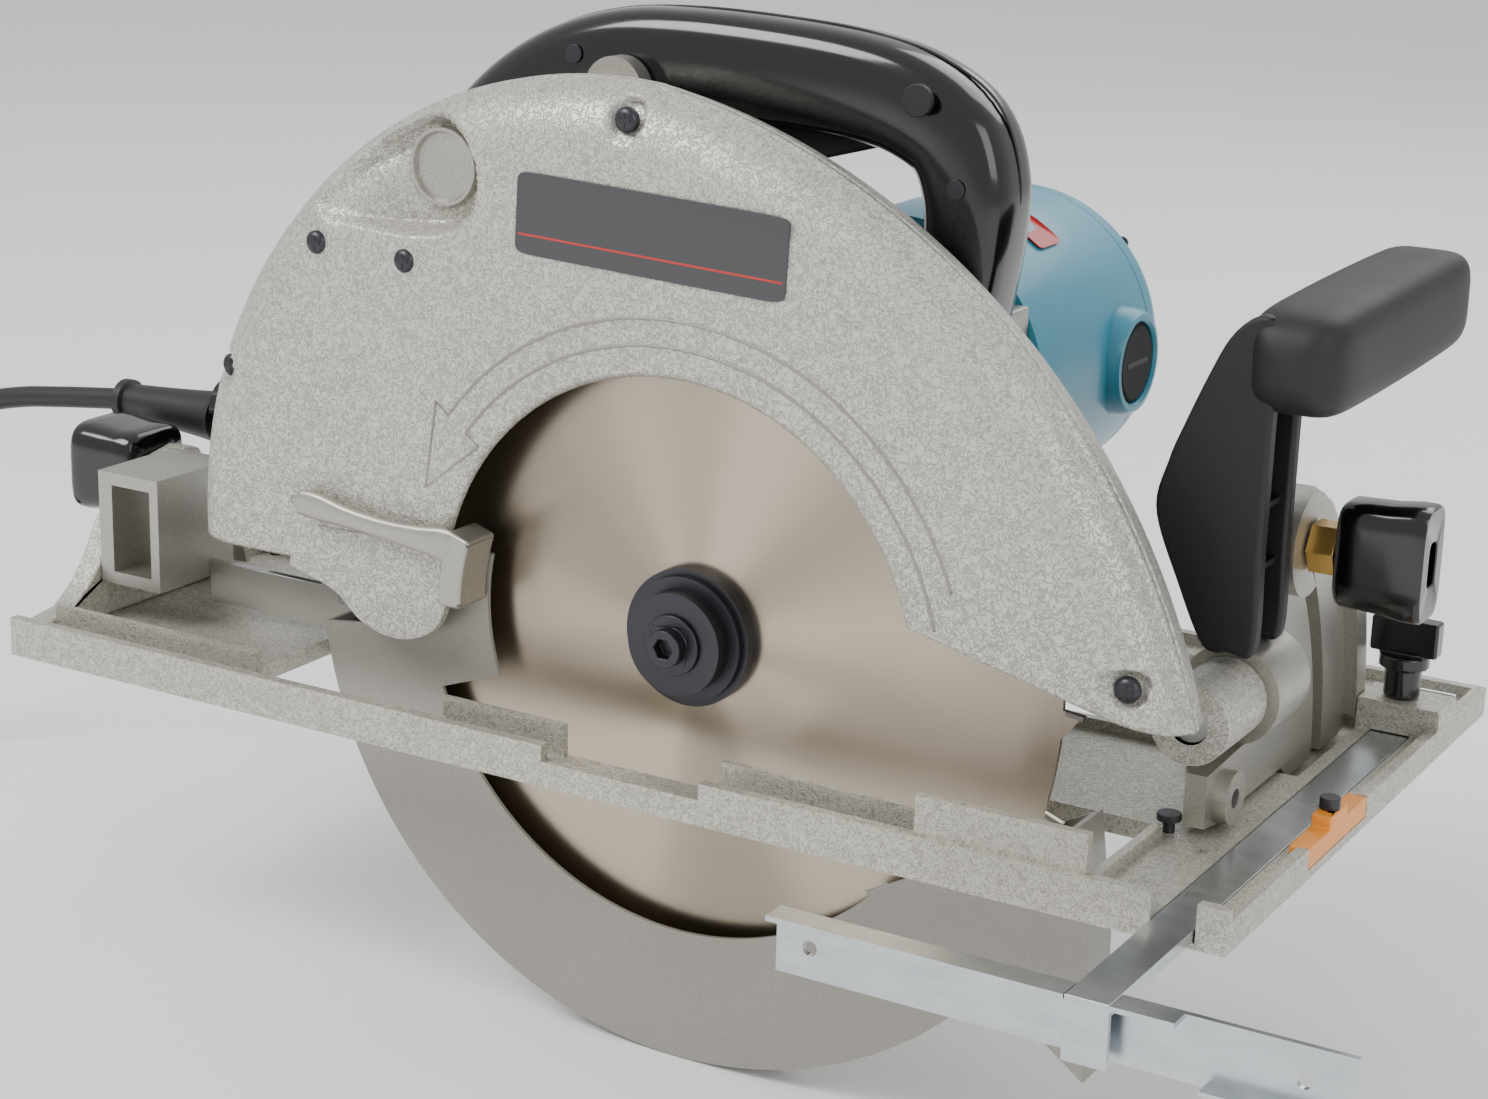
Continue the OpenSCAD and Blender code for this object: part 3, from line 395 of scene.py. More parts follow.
def make_object(name: str, points: Array, faces: Sequence[Sequence[int]], recalculate: bool = True,
                smooth: bool = True) -> Any:
    """Makes a mesh object from points and faces, with its faces turned outwards.

    Args:
        name: Object name.
        points: Array of points in metres.
        faces: Corner indices of each face.
        recalculate: Turn the faces outwards.
        smooth: Shade smooth.

    Returns:
        The new object, at the origin.
    """
    mesh = bpy.data.meshes.new(name)
    places = np.asarray(points, float).reshape(-1, 3).tolist()
    mesh.from_pydata(places, [], [list(map(int, f)) for f in faces])
    work = bmesh.new()
    work.from_mesh(mesh)
    bmesh.ops.remove_doubles(work, verts=work.verts, dist=1e-6)
    if recalculate:
        bmesh.ops.recalc_face_normals(work, faces=work.faces)
    for face in work.faces:
        face.smooth = smooth
    work.to_mesh(mesh)
    work.free()
    made = bpy.data.objects.new(name, mesh)
    bpy.context.scene.collection.objects.link(made)
    return made


def sharpen(thing: Any, degrees: float = 32.0) -> Any:
    """Marks edges sharper than an angle, so that smooth shading breaks there.

    Args:
        thing: The object.
        degrees: Angle above which an edge is sharp.

    Returns:
        The same object.
    """
    work = bmesh.new()
    work.from_mesh(thing.data)
    for edge in work.edges:
        edge.smooth = not (len(edge.link_faces) == 2 and edge.calc_face_angle(0) > math.radians(degrees))
    work.to_mesh(thing.data)
    work.free()
    return thing


def bevelled(thing: Any, width_mm: float, segments: int = 2, degrees: float = 32.0) -> Any:
    """Adds a small round to every sharp edge.

    Args:
        thing: The object.
        width_mm: Width of the round.
        segments: Steps of the round.
        degrees: Angle above which an edge is rounded.

    Returns:
        The same object.
    """
    bevel = thing.modifiers.new("round_edges", "BEVEL")
    bevel.width = width_mm * MM
    bevel.segments = segments
    bevel.limit_method = "ANGLE"
    bevel.angle_limit = math.radians(degrees)
    bevel.use_clamp_overlap = False
    bevel.harden_normals = True
    return thing


def sweep(name: str, path: Array, section: Array, scale: Array | None = None,
          across: Sequence[float] = (0, 1, 0), closed: bool = False) -> Any:
    """Carries a section along a path and closes its ends.

    Each ring is the path's point plus the section's two numbers along the across axis and along the
    normal, which is square to both the across axis and the path.

    Args:
        name: Object name.
        path: Points in metres.
        section: Outline with columns across and normal.
        scale: Two scale factors for each ring, across and normal.
        across: Direction of the section's first number.
        closed: Whether the path joins its own start.

    Returns:
        The new object.
    """
    ahead = np.roll(path, -1, 0) - np.roll(path, 1, 0) if closed else np.gradient(path, axis=0)
    ahead /= np.linalg.norm(ahead, axis=1)[:, None]
    side = np.broadcast_to(np.asarray(across, float), path.shape)
    side = side - (side * ahead).sum(1)[:, None] * ahead
    side /= np.linalg.norm(side, axis=1)[:, None]
    normal = np.cross(ahead, side)
    scale = np.ones((len(path), 2)) if scale is None else scale
    rings = (path[:, None] + side[:, None] * (section[None, :, 0, None] * scale[:, None, 0, None])
             + normal[:, None] * (section[None, :, 1, None] * scale[:, None, 1, None]))
    faces = grid_faces(len(path), len(section), closed, True).tolist()
    if not closed:
        faces += [list(range(len(section)))[::-1], list(range((len(path) - 1) * len(section),
                                                              len(path) * len(section)))]
    return make_object(name, rings, faces)


def tube(name: str, path: Array, radius: float | Array, sides: int = 14) -> Any:
    """Carries a circle along a path, with a frame that turns as little as it can from ring to ring.

    Args:
        name: Object name.
        path: Points in metres.
        radius: One radius, or one for each point.
        sides: Corners of the circle.

    Returns:
        The new object.
    """
    ahead = np.gradient(path, axis=0)
    ahead /= np.linalg.norm(ahead, axis=1)[:, None]
    side = np.cross(ahead[0], [0.3, 0.2, 1.0])
    sides_out = []
    for t in ahead:
        side = side - (side @ t) * t
        side = side / np.linalg.norm(side)
        sides_out.append(side)
    across = np.array(sides_out)
    up = np.cross(ahead, across)
    a = np.linspace(0, 2 * np.pi, sides, endpoint=False)
    r = np.broadcast_to(np.asarray(radius, float), (len(path),))[:, None, None]
    cosine, sine = np.cos(a)[None, :, None], np.sin(a)[None, :, None]
    rings = path[:, None] + r * (across[:, None] * cosine + up[:, None] * sine)
    faces = grid_faces(len(path), sides, False, True).tolist()
    faces += [list(range(sides))[::-1], list(range((len(path) - 1) * sides, len(path) * sides))]
    return make_object(name, rings, faces)


def revolve(name: str, profile: Sequence[tuple[float, float]], centre: Sequence[float], axis: str = "y",
            count: int = 96) -> Any:
    """Turns a profile of (radius, place along the axis) about an axis through a centre.

    Args:
        name: Object name.
        profile: Radius and place along the axis, in metres.
        centre: A point on the axis.
        axis: x, y or z.
        count: Steps round the circle.

    Returns:
        The new object.
    """
    p = np.asarray(profile, float)
    a = np.linspace(0, 2 * np.pi, count, endpoint=False)
    first, second = p[:, :1] * np.cos(a)[None], p[:, :1] * np.sin(a)[None]
    along = np.broadcast_to(p[:, 1:], first.shape)
    order = {"x": (along, first, second), "y": (first, along, second), "z": (first, second, along)}[axis]
    points = np.stack(order, -1) + np.asarray(centre, float)
    return make_object(name, points, grid_faces(len(p), count, False, True))


def slab(name: str, outline: Array, low: float, high: float, axis: str = "y", bevel_mm: float = 1.0) -> Any:
    """Extrudes a closed outline between two places along an axis and rounds its edges.

    Args:
        name: Object name.
        outline: Points in the plane across the axis: (x, z) for y, (y, z) for x, (x, y) for z.
        low: Start along the axis.
        high: End along the axis.
        axis: x, y or z.
        bevel_mm: Edge round.

    Returns:
        The new object.
    """
    o = np.asarray(outline, float)
    n = len(o)
    layers = []
    for place in (low, high):
        fill = np.full(n, place)
        first, second = o[:, 0], o[:, 1]
        columns = {"x": (fill, first, second), "y": (first, fill, second), "z": (first, second, fill)}
        layers.append(np.stack(columns[axis], -1))
    faces = grid_faces(2, n, False, True).tolist() + [list(range(n))[::-1], list(range(n, 2 * n))]
    made = sharpen(make_object(name, np.array(layers), faces))
    return bevelled(made, bevel_mm, 3) if bevel_mm else made


def joined(name: str, parts: Sequence[Any]) -> Any:
    """Applies each part's modifiers and joins the parts into one mesh.

    Args:
        name: Object name.
        parts: The parts, which are removed.

    Returns:
        The joined object.
    """
    merged = bmesh.new()
    graph = bpy.context.evaluated_depsgraph_get()
    for part in parts:
        made = bpy.data.meshes.new_from_object(part.evaluated_get(graph))
        merged.from_mesh(made)
        bpy.data.meshes.remove(made)
    mesh = bpy.data.meshes.new(name)
    merged.to_mesh(mesh)
    merged.free()
    for part in parts:
        bpy.data.objects.remove(part)
    whole = bpy.data.objects.new(name, mesh)
    bpy.context.scene.collection.objects.link(whole)
    return whole


def arc(centre: Sequence[float], radius: float, start: float, end: float, count: int) -> Array:
    """Points of a circular arc between two angles in degrees."""
    a = np.radians(np.linspace(start, end, count))
    return np.asarray(centre, float) + radius * np.stack([np.cos(a), np.sin(a)], 1)


def smoothstep(low: float, high: float, value: Array) -> Array:
    """Rises smoothly from 0 at low to 1 at high."""
    t = np.clip((value - low) / (high - low), 0, 1)
    return t * t * (3 - 2 * t)


def inside_distance(points: Array, outline: Array) -> Array:
    """Measures how far each point lies inside a closed outline.

    The distance is the least over the outline's edges, and the sign counts how often a ray crosses them.

    Args:
        points: Points with two columns.
        outline: Corners of the outline.

    Returns:
        One distance for each point, negative outside.
    """
    a, b = outline, np.roll(outline, -1, 0)
    edge = b - a
    to = points[:, None] - a[None]
    t = np.clip((to * edge[None]).sum(-1) / (edge ** 2).sum(-1)[None], 0, 1)
    gap = np.linalg.norm(to - t[..., None] * edge[None], axis=-1).min(1)
    y = points[:, 1][:, None]
    crosses = (a[None, :, 1] > y) != (b[None, :, 1] > y)
    rise = np.where(edge[None, :, 1] == 0, 1e-12, edge[None, :, 1])
    at = a[None, :, 0] + (y - a[None, :, 1]) * edge[None, :, 0] / rise
    odd = (crosses & (points[:, 0][:, None] < at)).sum(1) % 2 == 1
    return np.where(odd, gap, -gap)


@dataclass
class SubAssembly:
    """Shared work of every sub-assembly: dress pieces and log them."""

    made: list[str] = field(default_factory=list)

    def dress(self, piece: Any, finish: Finish, body: Body, nodes: Sequence[str] = ()) -> Any:
        """Gives a piece its finish and body, and hides the CAD nodes that it stands for.

        Args:
            piece: The object.
            finish: Its finish.
            body: The body it rides on.
            nodes: CAD nodes that it stands for.

        Returns:
            The piece.
        """
        piece.data.materials.clear()
        piece.data.materials.append(finish.build())
        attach(piece, body.value)
        if nodes:
            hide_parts(*nodes)
        self.made.append(piece.name)
        LOG.info("%s: %d faces", piece.name, len(piece.data.polygons))
        return piece

    def refine(self, node: str, finish: Finish, body: Body, bevel_mm: float = 0.5) -> Any:
        """Stands a merged copy of a CAD node in its place, with rounded edges.

        Args:
            node: The CAD node.
            finish: Its finish.
            body: The body it rides on.
            bevel_mm: Edge round; 0 for none.

        Returns:
            The new piece.
        """
        work = bmesh.new()
        work.from_mesh(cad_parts[node].data)
        bmesh.ops.remove_doubles(work, verts=work.verts, dist=2e-6)
        if bevel_mm:
            bmesh.ops.dissolve_limit(work, angle_limit=math.radians(0.05), verts=work.verts, edges=work.edges)
            bmesh.ops.triangulate(work, faces=work.faces, ngon_method="EAR_CLIP")
        for face in work.faces:
            face.smooth = True
        mesh = bpy.data.meshes.new(node + "_piece")
        work.to_mesh(mesh)
        work.free()
        piece = bpy.data.objects.new(node + "_piece", mesh)
        bpy.context.scene.collection.objects.link(piece)
        sharpen(piece)
        if bevel_mm:
            bevelled(piece, bevel_mm)
        return self.dress(piece, finish, body, [node])

    def keep(self, node: str, finish: Finish) -> None:
        """Keeps a CAD node that hardly shows and gives it a finish."""
        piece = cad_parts[node]
        piece.data.materials.clear()
        piece.data.materials.append(finish.build())
        self.made.append(node)


# ---- Camera, light and floor ----


@dataclass
class Studio:
    """Camera, lights and a pale floor under the saw."""

    lens_mm: float = 69.51
    turn: float = 30.11
    rise: float = 16.45
    roll: float = 1.66
    distance: float = 1.1783
    target: tuple[float, float, float] = (0.02227, 0.0, 0.09881)
    floor_z: float = -0.1312

    def camera(self) -> None:
        """Places the camera by its turn, rise and roll about the target."""
        a, e, r = (math.radians(v) for v in (self.turn, self.rise, self.roll))
        back = Vector((math.sin(a) * math.cos(e), -math.cos(a) * math.cos(e), math.sin(e)))
        right = (-back).cross(Vector((0, 0, 1))).normalized()
        up = right.cross(-back)
        x = right * math.cos(r) + up * math.sin(r)
        y = up * math.cos(r) - right * math.sin(r)
        data = bpy.data.cameras.new("camera")
        data.lens = self.lens_mm
        data.sensor_width = 36.0
        seen = bpy.data.objects.new("camera", data)
        place = Vector(self.target) + back * self.distance
        seen.matrix_world = Matrix((
            (x[0], y[0], back[0], place[0]), (x[1], y[1], back[1], place[1]),
            (x[2], y[2], back[2], place[2]), (0, 0, 0, 1)))
        bpy.context.scene.collection.objects.link(seen)
        bpy.context.scene.camera = seen

    def lights(self) -> None:
        """Adds a broad key light above on the left, a fill on the right and an even pale sky."""
        for name, place, size, power in (
            ("key", (-1.3, -1.5, 2.2), 1.3, 62.0),
            ("fill", (2.4, -0.9, 1.3), 1.6, 22.0),
            ("back", (0.3, 2.2, 2.0), 1.8, 26.0),
        ):
            data = bpy.data.lights.new(name, "AREA")
            data.size = size
            data.energy = power
            lamp = bpy.data.objects.new(name, data)
            lamp.location = place
            lamp.rotation_mode = "QUATERNION"
            lamp.rotation_quaternion = (Vector((0, 0, 0.08)) - Vector(place)).to_track_quat("-Z", "Y")
            bpy.context.scene.collection.objects.link(lamp)
        world = bpy.data.worlds.new("pale_sky")
        world.use_nodes = True
        world.node_tree.nodes["Background"].inputs["Color"].default_value = linear("#F7F8FA")
        world.node_tree.nodes["Background"].inputs["Strength"].default_value = 0.80
        bpy.context.scene.world = world

    def floor(self) -> None:
        """Lays a plain pale floor."""
        half = 20.0
        corners = np.array([[-half, -half], [half, -half], [half, half], [-half, half]])
        points = np.column_stack([corners, np.full(4, self.floor_z)])
        ground = make_object("floor", points, [[0, 1, 2, 3]], recalculate=False)
        paint = bpy.data.materials.new("pale_floor")
        paint.use_nodes = True
        shader = paint.node_tree.nodes["Principled BSDF"]
        shader.inputs["Base Color"].default_value = linear("#FAFAFA")
        shader.inputs["Roughness"].default_value = 0.8
        ground.data.materials.append(paint)

    def build(self) -> None:
        """Builds the camera, the lights and the floor."""
        self.camera()
        self.lights()
        self.floor()


# ---- Cord ----


@dataclass
class PowerCord(SubAssembly):
    """The cord, its coil on the floor, its plug and the strain relief at the handle's tail."""

    diameter: float = 0.011
    coil_x: float = -0.618
    coil_y: float = 0.020
    floor_z: float = -0.131
    route_mm: tuple[tuple[float, float, float], ...] = (
        (-390, 84, 86), (-412, 84, 83.5), (-436, 84, 80.5), (-460, 84, 77), (-484, 84, 71),
        (-506, 84, 60), (-524, 84, 44), (-536, 84, 22), (-542, 83, -4), (-544, 82, -31),
        (-545, 80, -57), (-545, 75, -82), (-545, 65, -103), (-545, 51, -118), (-545, 35, -125),
    )

    def coil(self) -> Array:
        """Five turns wound inwards on the floor and outwards on top of it, then up to the plug.

        The radius and height are read off the number of turns, and the angle falls with it.
        """
        turn = np.linspace(0.0, 5.5, 430)
        r = np.interp(turn, [0, 0.86, 1.04, 1.86, 2.04, 3.0, 3.1, 3.93, 4.1, 5.1, 5.4, 5.5],
                      [73, 73, 62, 62, 51, 51, 56.5, 56.5, 67.5, 67.5, 63, 63])
        z = np.interp(turn, [0, 2.82, 2.99, 4.8, 5.1, 5.38, 5.5], [5.5, 5.5, 15.0, 15.0, 26.5, 37.5, 37.5])
        kernel = np.hanning(9) / np.hanning(9).sum()
        r = np.convolve(np.pad(r, 4, "edge"), kernel, "valid")
        z = np.convolve(np.pad(z, 4, "edge"), kernel, "valid")
        a = -2 * np.pi * turn
        return np.stack([self.coil_x + MM * r * np.cos(a), self.coil_y + MM * r * np.sin(a),
                         self.floor_z + MM * z], 1)

    def build(self) -> None:
        """Builds the cord as one tube, the plug and the strain relief."""
        coil = self.coil()
        run = smooth_path(np.array([*self.route_mm, (-545, 20, -125.5)]) * MM, 90)
        path = np.vstack([run[:-1], coil])
        gap = np.linalg.norm(np.diff(path, axis=0), axis=1)
        along = np.concatenate([[0], np.cumsum(gap)])
        at = np.linspace(0, along[-1], 520)
        path = np.stack([np.interp(at, along, path[:, k]) for k in range(3)], 1)
        cord = tube("power_cord_lead", path, self.diameter / 2, 14)
        cord.data.materials.append(SOFT_BLACK.build())
        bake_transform(cord)
        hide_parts("power_cord", "cord_coil")
        plug = self.plug()
        self.relief()

    def plug(self) -> Any:
        """Builds a round earthed plug: a moulded body with a grip waist, and two pins."""
        low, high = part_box("power_plug")
        x, z = (low[0] + high[0]) / 2, (low[2] + high[2]) / 2
        start = low[1]
        profile = [(0, 0), (0.007, 0), (0.009, 0.001), (0.0125, 0.010), (0.0145, 0.018), (0.0165, 0.022),
                   (0.0168, 0.030), (0.0165, 0.038), (0.0155, 0.0398), (0, 0.040)]
        body = revolve("plug_body", profile, (x, start, z), "y", 48)
        pin_profile = [(0, 0.039), (0.0024, 0.039), (0.0024, 0.0575), (0.0015, 0.0588), (0, 0.059)]
        pins = [revolve(f"plug_pin_{i}", pin_profile, (x + side * 0.0095, start, z), "y", 20)
                for i, side in enumerate((-1, 1))]
        for i, pin in enumerate(pins):
            self.dress(pin, BRIGHT_STEEL, Body.TILT)
        plug = joined("power_plug_body", [body])
        self.dress(plug, SOFT_BLACK, Body.TILT, ["power_plug"])
        return plug

    def relief(self) -> None:
        """Builds the tapered sleeve where the cord leaves the handle's tail."""
        low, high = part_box("strain_relief")
        y, z = (low[1] + high[1]) / 2, (low[2] + high[2]) / 2
        s = np.linspace(0, 1, 60)
        along = high[0] - 0.004 - s * (high[0] - 0.004 - low[0])
        radius = 0.0134 - 0.0052 * s ** 0.7
        radius = np.where(s > 0.92, 0.0105, radius)
        profile = [(0, along[0]), *zip(radius, along), (0, along[-1])]
        piece = revolve("strain_relief_sleeve", profile, (0, y, z), "x", 40)
        self.dress(sharpen(piece, 50), SOFT_BLACK, Body.HEAD, ["strain_relief"])


# ---- Blade case ----


@dataclass
class BladeCase(SubAssembly):
    """Both halves of the blade case, its label, chip outlet, screws and raised arrow."""

    axis_z: float = 0.0582
    half: float = 0.024
    rear_centre: tuple[float, float] = (-0.045, 0.015)
    rear_radius: float = 0.212
    front_centre: tuple[float, float] = (-0.0753, -0.0787)
    front_radius: float = 0.309
    window: float = 0.113
    round_in: float = 0.028

    def rim(self, count: int) -> Array:
        """Outer edge from the rear lower corner over the top to the nose, evenly spaced.

        Two arcs meet above the axis, and a short straight runs down at the rear.
        """
        meet = math.degrees(math.atan2(0.2106, 0.024))
        rear = arc(self.rear_centre, self.rear_radius, 180, meet, 200)
        tail = np.array([[self.rear_centre[0] - self.rear_radius, 0.005]])
        start = math.degrees(math.atan2(0.3042, 0.0543))
        nose = arc(self.front_centre, self.front_radius, start, 15.4, 260)
        whole = np.vstack([tail, rear, nose])
        step = np.concatenate([[0], np.cumsum(np.linalg.norm(np.diff(whole, axis=0), axis=1))])
        at = np.linspace(0, step[-1], count)
        return np.stack([np.interp(at, step, whole[:, k]) for k in range(2)], 1)

    def inner(self, count: int, radius: float, start: float, end: float) -> Array:
        """Inner edge: an arc about the blade's axis, from rear to front."""
        return arc((0, 0), radius, start, end, count)

    def shell(self, name: str, side: int, radius: float, angles: tuple[float, float], round_in: float,
              relief: Callable[[Array, Array], Array] | None) -> Any:
        """Builds one half as a sheet that leaves the rim, rounds over and runs flat to the inner edge.

        Across the sheet, the first rows turn a quarter ellipse from the rim to the face, and the rest are
        spaced evenly to the inner edge.

        Args:
            name: Object name.
            side: -1 for the cover, 1 for the inner half.
            radius: Radius of the inner edge.
            angles: Angles of the inner edge's ends.
            round_in: Width of the rounding.
            relief: Depth of hollows at (x, z) points on the face, or None.

        Returns:
            The shell.
        """
        count = 500
        outer = self.rim(count)
        inner = self.inner(count, radius, *angles)
        span = np.linalg.norm(outer - inner, axis=1)
        toward = (inner - outer) / span[:, None]
        lip = [(-0.0010, 0.0004), (-0.0010, 0.0026), (-0.0004, 0.0034)]
        turn = np.radians(np.linspace(9, 90, 12))
        rounded = [(round_in * (1 - math.cos(a)), 0.0004 + (self.half - 0.0004) * math.sin(a)) for a in turn]
        start = np.array(lip + rounded)
        flat = 78
        share = np.linspace(0, 1, flat + 1)[1:]
        rows = []
        heights = []
        for s, y in start:
            rows.append(outer + toward * np.minimum(s, span * 0.9)[:, None])
            heights.append(np.full(count, y))
        edge_drop = 0.0022
        for t in share:
            place = start[-1, 0] + (span - start[-1, 0]) * t
            rows.append(outer + toward * place[:, None])
            left = span - place
            heights.append(self.half - edge_drop * np.clip(1 - left / 0.003, 0, 1) ** 2)
        flat_points = np.array(rows)
        height = np.array(heights)
        if relief is not None:
            height = height - relief(flat_points.reshape(-1, 2), height.reshape(-1)).reshape(height.shape)
        points = np.stack([flat_points[..., 0], side * height, flat_points[..., 1] + self.axis_z], -1)
        sheet = make_object(name, points, grid_faces(len(rows), count, False, False), recalculate=False)
        self.face_out(sheet, side)
        wall = sheet.modifiers.new("wall", "SOLIDIFY")
        wall.thickness = 0.003
        wall.offset = -1.0
        return sheet

    def face_out(self, sheet: Any, side: int) -> None:
        """Turns a sheet's faces towards its own side."""
        facing = sum(face.normal[1] * face.area for face in sheet.data.polygons)
        if facing * side < 0:
            sheet.data.flip_normals()

    def outlet(self, points: Array, height: Array) -> Array:
        """Depth of the cover's hollows: the chip outlet's scoop and the screws' recesses.

        The scoop deepens smoothly inside its outline and slopes towards its round port.
        """
        corners = np.array([[-184, 164], [-166, 182], [-146, 197], [-126, 206], [-111, 205], [-99, 196],
                            [-95, 182], [-99, 168], [-112, 159], [-132, 156], [-160, 157], [-178, 158],
                            [-184, 164]])
        outline = smooth_path(corners * MM, 60)[:-1]
        near = (np.abs(points - [-0.14, 0.181]) < [0.062, 0.045]).all(1)
        depth = np.zeros(len(points))
        within = inside_distance(points[near], outline)
        slope = smoothstep(-0.186, -0.120, points[near][:, 0])
        hollow = smoothstep(0.0, 0.0035, within) * (0.0025 + 0.0175 * slope)
        port = np.linalg.norm(points[near] - [-0.124, 0.184], axis=1)
        ring = 0.0012 * np.exp(-((port - 0.0155) / 0.0008) ** 2) * smoothstep(0.002, 0.006, within)
        depth[near] = hollow + ring
        for at in self.screws():
            gap = np.linalg.norm(points - at, axis=1)
            depth += 0.0055 * (1 - smoothstep(0.0062, 0.0085, gap))
        return np.minimum(depth, np.maximum(height - 0.0032, 0))

    def screws(self) -> Array:
        """Places of the cover's three screws, about the blade's axis."""
        rim = 0.189 + 0.014
        return np.array([[rim * math.cos(math.radians(6)), rim * math.sin(math.radians(6))],
                         [-0.026, 0.214], [-0.2375, 0.084]])

    def screw(self, name: str, at: Array, y: float, radius: float) -> Any:
        """Builds a domed screw head, facing -Y."""
        x, z = at[0], at[1] + self.axis_z
        top = y - 0.0022
        profile = [(0, top), (radius * 0.45, top + 0.0001), (radius * 0.8, top + 0.0007),
                   (radius, top + 0.0018), (radius, y + 0.002), (0, y + 0.002)]
        return sharpen(revolve(name, profile, (x, 0, z), "y", 32), 50)

    def cross(self, name: str, at: Array, y: float, radius: float) -> Any:
        """Builds a dark flat cross on a screw's head, painted shade standing for its cross recess."""
        x, z = at[0], at[1] + self.axis_z
        long, wide = radius * 0.62, radius * 0.14
        quarter = np.array([[long, wide], [wide, wide], [wide, long]])
        outline = np.vstack([quarter, quarter[::-1] * [-1, 1], -quarter, quarter[::-1] * [1, -1]])
        return slab(name, outline + [x, z], y - 0.00235, y - 0.0019, "y", 0.05)

    def arrow(self) -> Any:
        """Builds the raised outline of the arrow that shows which way the blade turns; it takes the guard's
        darker paint as painted shade along the line.
        """
        outer = arc((0, 0), 0.1372, 20, 143, 120)
        head = np.vstack([arc((0, 0), 0.1455, 143, 143, 1), arc((0, 0), 0.1312, 158, 158, 1),
                          arc((0, 0), 0.1180, 143, 143, 1)])
        outline = np.vstack([outer, head, arc((0, 0), 0.1262, 143, 14, 120)])
        path = np.column_stack([outline[:, 0], np.full(len(outline), -self.half + 0.0001),
                                outline[:, 1] + self.axis_z])
        return tube("turning_arrow_line", path, 0.0007, 6)

    def label(self) -> None:
        """Builds the blank dark label with its red line."""
        tilt = math.radians(-2.5)
        turn = np.array([[math.cos(tilt), -math.sin(tilt)], [math.sin(tilt), math.cos(tilt)]])
        corner = np.array([-0.0744, 0.190 + self.axis_z])
        plate = squircle(0.1274, 0.0341, 16, 96) + [0.0637, -0.01705]
        piece = slab("name_plate", plate @ turn.T + corner, -self.half - 0.0007, -self.half + 0.0005, "y",
                     0.2)
        self.dress(piece, LABEL, Body.HEAD, ["label_plate"])
        stripe = np.array([[0.0015, -0.0263], [0.1259, -0.0263], [0.1259, -0.0254], [0.0015, -0.0254]])
        line = slab("name_plate_line", stripe @ turn.T + corner, -self.half - 0.00078, -self.half, "y", 0.02)
        self.dress(line, RED, Body.HEAD)

    def lobe(self) -> None:
        """Builds the rounded lobe of the cover below the guard's lever."""
        corners = np.array([[-196, 22], [-150, 23], [-112, 22], [-110, 4], [-117, -14], [-136, -22],
                            [-156, -18], [-172, -6], [-196, 1]])
        outline = smooth_path(corners * MM, 70) + [0, self.axis_z]
        piece = slab("cover_lobe", outline, -self.half - 0.0005, -self.half + 0.004, "y", 0.5)
        self.dress(piece, CAST_PAINT, Body.HEAD)

    def build(self) -> None:
        """Builds both halves and what is on them."""
        cover = self.shell("case_cover_shell", -1, self.window, (177.3, 15.5), self.round_in, self.outlet)
        self.dress(cover, CAST_PAINT, Body.HEAD, ["case_cover"])
        inner = self.shell("blade_case_shell", 1, 0.034, (178, 4), 0.012, None)
        self.dress(inner, CAST_PAINT, Body.HEAD, ["blade_case"])
        low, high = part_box("depth_pivot_pin")
        x, z = (low[0] + high[0]) / 2, (low[2] + high[2]) / 2
        boss_profile = [(0.0081, 0.021), (0.0165, 0.021), (0.0165, 0.0625), (0.0155, 0.064), (0.0081, 0.064)]
        boss = revolve("depth_pivot_boss", boss_profile, (x, 0, z), "y", 64)
        self.dress(sharpen(boss), CAST_PAINT, Body.HEAD)
        top_profile = [(0, 0.020), (0.014, 0.020), (0.014, 0.0285), (0.0125, 0.030), (0, 0.030)]
        top = revolve("handle_boss", top_profile, (-0.058, 0, 0.219 + self.axis_z), "y", 48)
        self.dress(sharpen(top), CAST_ZINC, Body.HEAD)
        seats = list(enumerate(zip(self.screws(), (-0.0195, -0.0195, -0.0112))))
        heads = [self.screw(f"cover_screw_{i}", at, y, 0.0052) for i, (at, y) in seats]
        self.dress(joined("case_screw_heads", heads), BLACK_OXIDE, Body.HEAD, ["case_screws"])
        crosses = [self.cross(f"cover_cross_{i}", at, y, 0.0052) for i, (at, y) in seats]
        outlet_at = np.array([[-0.179, 0.148], [-0.1324, 0.1455]])
        heads = [self.screw(f"outlet_screw_{i}", at, -self.half, 0.005) for i, at in enumerate(outlet_at)]
        crosses += [self.cross(f"outlet_cross_{i}", at, -self.half, 0.005) for i, at in enumerate(outlet_at)]
        self.dress(joined("outlet_screw_heads", heads), BLACK_OXIDE, Body.HEAD, ["chute_screws"])
        # The crosses are painted shade for the screws' cross recesses.
        self.dress(joined("screw_recess_shade", crosses), CARBON_AND_PAINTED_SHADE, Body.HEAD)
        # The arrow's darker colour is painted shade along its raised line.
        self.dress(self.arrow(), GUARD_LACQUER_AND_ARROW_SHADE, Body.HEAD)
        port_profile = [(0, -0.0065), (0.0140, -0.0065), (0.0150, -0.0085), (0.0165, -0.0085),
                        (0.0165, -0.002), (0, -0.002)]
        port = revolve("outlet_port", port_profile, (-0.124, 0, 0.184 + self.axis_z), "y", 56)
        self.dress(sharpen(port), CAST_ZINC, Body.HEAD)
        self.label()
        self.lobe()
        self.keep("guard_spring", BLACK_OXIDE)


# ---- Blade, guard and drive ----


